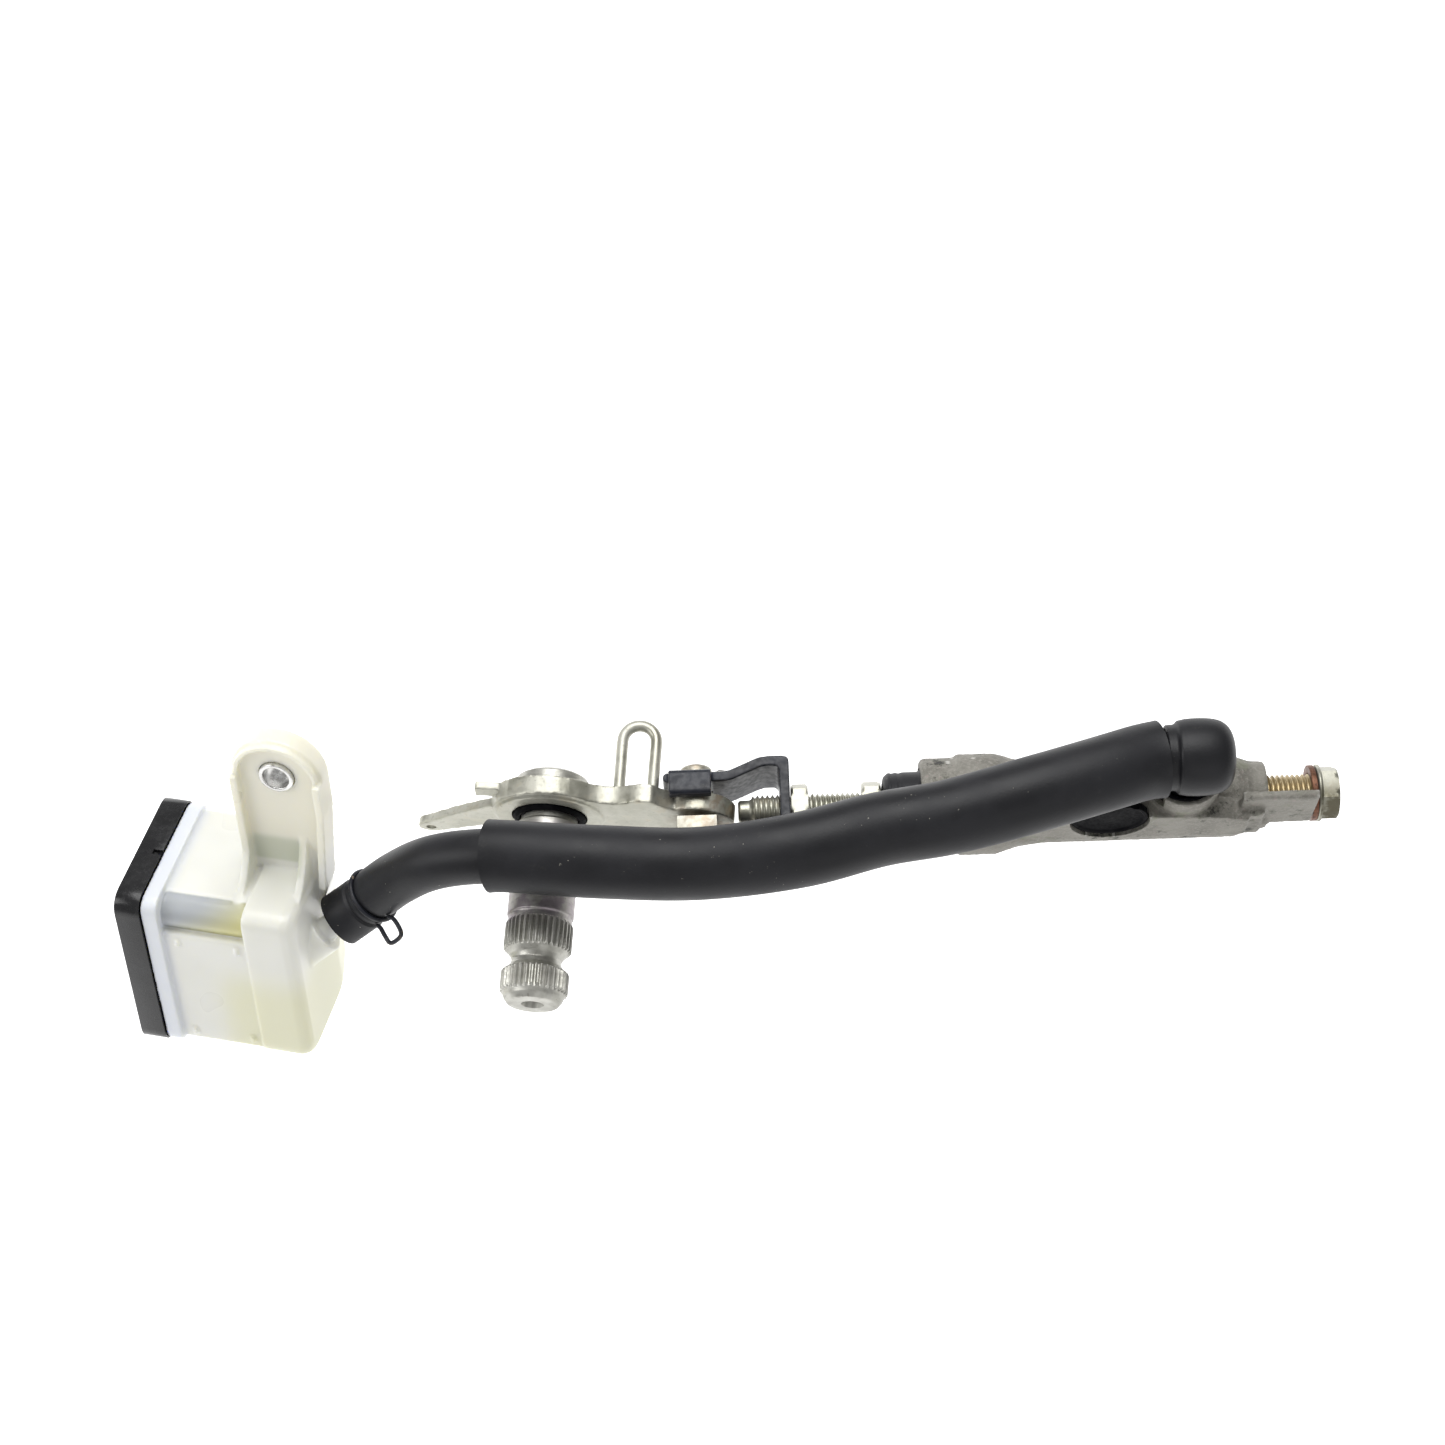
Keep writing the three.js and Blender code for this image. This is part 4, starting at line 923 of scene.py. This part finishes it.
def reservoir_shell():
    width, height, step, length = TANK_WIDTH, TANK_HEIGHT, TANK_STEP, TANK_LENGTH
    rim = panel((0, 4), (0, width), (-height, 0), 4.5)
    near, far, low, high = 1.6, width - 1.6, 1.6 - height, -1.6
    chamber = slab(rounded([
        (near, low), (far, low), (far, high), (RELIEF_Y, high), (RELIEF_Y, RELIEF_Z), (near, RELIEF_Z)],
        1.2, wrap=True, steps=4), 3, step + 1, "x")
    post = rod(POST_R, 3, step + 1, "x", POST.yz)
    foot = skin([
        foot_ring(step, width - 1, 0), foot_ring(length - 3.2, width - 1, 0),
        foot_ring(length - 1.5, 31.6, 0.5), foot_ring(length - 0.5, 28, 1.3), foot_ring(length, 25.6, 2.4)])
    left, right = STAY_X
    crown_r = (right - left) / 2
    top = arc(STAY_HOLE, crown_r, 0, 180)
    toe, shoulder = (42.4, -4), (right, STAY_HOLE[1] - 10)
    stay = slab([(left, -2), (length - 1, -14), (length, -14), toe, shoulder, *top], 20, 25)
    crown = slab([*arc(STAY_HOLE, crown_r - 0.7, 0, 180), *arc(STAY_HOLE, crown_r - 2, 180, 0)], 18.2, 21)
    rims = [
        box((left, left + 2), (17.2, 21), (-2, STAY_HOLE[1])),
        slab([(toe[0] - 2, toe[1]), toe, shoulder, (right, STAY_HOLE[1]), (right - 2, STAY_HOLE[1]),
              (right - 2, shoulder[1])], 17.2, 21)]
    gussets = [slab([(20.5, -2), (6.5, -2), *bend((6.5, -2), (15, -1), (20.5, 13))], x, x + 2, "x")
               for x in (left, length - 2.6)]
    marks = [box((x, x + 1.1), (0.7, 2.2), (z, z + 2)) for x in (7, 22.5) for z in (-14.5, -47)]
    turn = NIPPLE_WAY.rotation_difference(Vector((1, 0, 0))).inverted().to_matrix().to_4x4()
    nipple_frame = Matrix.Translation(NIPPLE_BASE) @ turn
    spigot = [in_frame(rod(5.7, -6, 2.4), nipple_frame), in_frame(rod(3.2, -6, 13), nipple_frame)]
    collar_hole = rod(4.6, 10, 30, "y", STAY_HOLE)
    inner = 3.6
    hollow = [
        slab(rounded([(inner, inner - height), (width - inner, inner - height), (width - inner, -inner),
                      (13.4, -inner), (13.4, -12.8), (inner, -12.8)], 2, wrap=True), -1, step + 2, "x"),
        rod(3.1, -1, step + 4, "x", POST.yz)]
    piece(
        "reservoir_shell", "reservoir_body",
        [rim, chamber, post, foot, stay, *rims, crown, *gussets, *marks, *spigot], TANK,
        fuse=(0.36, 6), cuts=[collar_hole, *hollow, in_frame(rod(2.1, -9, 15), nipple_frame)])
    piece("collar", "stay_collar", [washer(4.4, 3.3, 19, 26, "y", STAY_HOLE, 0.35)], TANK)


def reservoir_cap():
    over = 0.5
    screws = ((2.4, 2.6 - TANK_HEIGHT), (TANK_WIDTH - 2.4, -2.6))
    raised = panel((-6.9, -5.2), (4, TANK_WIDTH - 4), (4 - TANK_HEIGHT, -4), 3)
    lid = panel((-6.6, -0.25), (-over, TANK_WIDTH + over), (-TANK_HEIGHT - over, over), 5.2)
    piece(
        "black_cap", "reservoir_cap", [lid, raised], TANK, bevel=0.45, angle=50, cuts=[
            panel((-4.2, 0), (6, TANK_WIDTH - 6), (6 - TANK_HEIGHT, -6), 3),
            panel((-1.5, 0), (0.1, TANK_WIDTH - 0.1), (0.1 - TANK_HEIGHT, -0.1), 4),
            *(rod(2.2, -7, -4.9, "x", place, 48) for place in screws),
            *(rod(1.9, -8, 0, "x", place, 48) for place in screws),
            box((-2.6, 0), (17, 18.6), (-0.6, 2))])
    for number, (y, z) in enumerate(screws, 1):
        head = turned([(-6.1, 0.01), (-6, 1.2), (-5.6, 1.9), (-5, 2), (-5, 0.01)], "x", 64, 0.15, (y, z))
        shank = rod(1.3, -5.3, 2.6, "x", (y, z), 48)
        piece(f"cross_screw_{number}", f"cap_screw_{number}", [head, shank], TANK, cuts=[
            box((-7, -5.5), (y - 1.2, y + 1.2), (z - 0.25, z + 0.25)),
            box((-7, -5.5), (y - 0.25, y + 0.25), (z - 1.2, z + 1.2))])


# ---- Feed hose, sleeve, elbow and clips ----

def nipple_point(distance):
    return tuple(TANK_IN_CYLINDER @ (NIPPLE_BASE + NIPPLE_WAY * distance))


HOSE_ROUTE = [
    nipple_point(7), nipple_point(14), (-130, -17.4, 7.5), (-119.8, -17, 17.2), (-106, -18.1, 23.3),
    (-91.5, -20, 25), (-79, -21.1, 24.8), (-55.2, -22.7, 25.8), (-31, -20.7, 27.5), (-11.9, -16.9, 29.5),
    (4.9, -14.9, 31), (29.3, -8.9, 31.5), (44, -4.4, 30.2), (53, -1.2, 28), (57.5, -0.3, 27.3),
    (60.8, 0, 27.2)]
HOSE_LINE = smooth_path(HOSE_ROUTE, 0.8)


def feed_hose():
    length = 0.8 * len(HOSE_LINE)

    def radius(share, turn):
        gone = share * length
        swell = 0.25 if gone < 8.6 else 0
        groove = -0.3 * math.exp(-((gone - 8.9) / 0.35) ** 2)
        pinch = -0.3 * math.exp(-((gone - CLIP_AT * length) / 1.2) ** 2)
        return HOSE_R + swell + groove + pinch

    piece("rubber_hose", "feed_hose", [pipe(HOSE_LINE, radius, HOSE_BORE_R, 72)])


def hose_sleeve():
    line = stretch(HOSE_LINE, SLEEVE_FROM, SLEEVE_TO)

    def radius(share, turn):
        flare = 0.2 * (math.exp(-share * 90) + math.exp(-(1 - share) * 90))
        wobble = 0.12 * math.sin(share * 19 + 2 * turn) * math.sin(share * math.pi)
        return 8.7 + 0.6 * share + flare + wobble

    piece("outer_sleeve", "hose_sleeve", [pipe(line, radius, SLEEVE_BORE_R, 80)], angle=50)


def inlet_elbow():
    neck = turned(
        [(58.2, 2), (58.2, 8), (60.6, 8.1), (61.2, 9), (64, 9.4), (64, 2)], edge=0.3, centre=(0, ELBOW_Z))
    bulb = turned([
        (61.4, 2), (61.4, 9.2), (65, 9.5), (69, 9.4), (71.8, 8.8), (73.8, 7.2), (74.8, 4.8), (75, 2.4),
        (75, 0.01)], edge=1.6, centre=(0, ELBOW_Z))
    leg = rod(6.6, INLET_TOP_Z + 0.8, ELBOW_Z, "z", (INLET_X, 0))
    foot = rod(8, INLET_TOP_Z + 0.8, INLET_TOP_Z + 2.2, "z", (INLET_X, 0))
    piece(
        "elbow_boot", "inlet_elbow", [neck, bulb, leg, foot], fuse=(0.32, 4), angle=50, cuts=[
            rod(7.15, 53, 61.4, "x", (0, ELBOW_Z + 0.2)), rod(4, 60, INLET_X + 0.5, "x", (0, ELBOW_Z)),
            rod(3.6, INLET_TOP_Z, ELBOW_Z, "z", (INLET_X, 0))])


def clips():
    clip_z = INLET_TOP_Z + 3.4
    ears = [
        wire([(INLET_X - 7.4, s * 1.2, clip_z), (INLET_X - 8.3, s * 1.4, clip_z + 0.2),
              (INLET_X - 8.6, s * 1.5, clip_z + 1.4)], 0.6, 0.4, 12)
        for s in (1, -1)]
    piece("elbow_clip", "inlet_clip", [hoop(7.6, INLET_CLIP_WIRE_R, (INLET_X, 0, clip_z)), *ears])

    spot = round(CLIP_AT * (len(HOSE_LINE) - 1))
    way = (HOSE_LINE[spot + 1] - HOSE_LINE[spot - 1]).normalized()
    ear_way = Vector((0.35, -0.85, -0.2))
    ear_way = (ear_way - way * ear_way.dot(way)).normalized()
    clip_frame = basis(ear_way, way.cross(ear_way), way, HOSE_LINE[spot])
    near = HOSE_R + HOSE_CLIP_WIRE_R
    half = [(near - 0.4, -1.6, 2.2), (near + 0.4, -0.4, 2.5), (near + 2.8, 0, 2.7), (near + 5, 0, 2.3)]
    ear = wire([
        *((x, y, -z) for x, y, z in half), (near + 5.5, 0, 0), *half[::-1]], HOSE_CLIP_WIRE_R, 0.5, 14)
    piece("spring_clip", "hose_clip", [hoop(near - 0.4, HOSE_CLIP_WIRE_R), ear], CYLINDER @ clip_frame)


# ---- Room, light and camera ----

def pale_floor():
    low, high = CAD_BOX
    middle_x, middle_y = (low[0] + high[0]) / 2, (low[1] + high[1]) / 2
    reach, drop = 2.5, 0.06
    points = [(middle_x + sx * reach, middle_y + sy * reach, low[2] - drop)
              for sx, sy in ((-1, -1), (1, -1), (1, 1), (-1, 1))]
    mesh = bpy.data.meshes.new("floor")
    mesh.from_pydata(points, [], [(0, 1, 2, 3)])
    floor = bpy.data.objects.new("floor", mesh)
    bpy.context.scene.collection.objects.link(floor)
    paint = bpy.data.materials.new("floor_white")
    paint.use_nodes = True
    shader = paint.node_tree.nodes["Principled BSDF"]
    shader.inputs["Base Color"].default_value = (0.92, 0.92, 0.92, 1)
    shader.inputs["Roughness"].default_value = 0.9
    shader.inputs["Emission Color"].default_value = (1, 1, 1, 1)
    shader.inputs["Emission Strength"].default_value = 0.6
    mesh.materials.append(paint)


def soft_box(name, place, target, size, power):
    """A square lamp at a place that faces a target, in metres and watts."""
    lamp = bpy.data.lights.new(name, "AREA")
    lamp.size = size
    lamp.energy = power
    made = bpy.data.objects.new(name, lamp)
    made.location = place
    made.rotation_euler = (Vector(target) - Vector(place)).to_track_quat("-Z", "Y").to_euler()
    bpy.context.scene.collection.objects.link(made)


def studio():
    world = bpy.data.worlds.new("studio")
    bpy.context.scene.world = world
    world.use_nodes = True
    world.node_tree.nodes["Background"].inputs["Color"].default_value = (1, 1, 1, 1)
    world.node_tree.nodes["Background"].inputs["Strength"].default_value = 0.38
    target = (-0.09, -0.02, 0.01)
    soft_box("overhead", (-0.1, 0.45, 0.85), target, 0.7, 8.5)
    soft_box("left", (-0.9, -0.1, 0.55), target, 0.5, 3)
    soft_box("front", (0.2, -0.9, 0.5), target, 0.7, 1.2)
    bpy.context.scene.view_settings.view_transform = "Standard"


def camera():
    """Looks down on the part from its front at 67.5 degrees, from 0.8 m, a little rolled."""
    pitch, roll, distance = math.radians(67.5), math.radians(1.9), 800
    right = Vector((1, 0, 0))
    up = Vector((0, math.sin(pitch), math.cos(pitch)))
    back = right.cross(up)
    rolled_right = right * math.cos(roll) - up * math.sin(roll)
    rolled_up = right * math.sin(roll) + up * math.cos(roll)
    place = -49.375 * rolled_right + 20.875 * rolled_up + distance * back
    lens = bpy.data.cameras.new("camera")
    lens.sensor_width = 36
    lens.lens = 79.72
    lens.clip_start = 0.05
    made = bpy.data.objects.new("camera", lens)
    made.matrix_world = basis(rolled_right, rolled_up, back, MOUTH + place * MM)
    bpy.context.scene.collection.objects.link(made)
    bpy.context.scene.camera = made


dress_cad_nodes()
for build in (
        cylinder_body, recess_plug, outlet, push_rod, dust_boot, return_spring, clevis, clevis_pin, arm,
        pedal_shaft, wire_hook, reservoir_shell, reservoir_cap, feed_hose, hose_sleeve, inlet_elbow, clips,
        pale_floor, studio, camera):
    build()
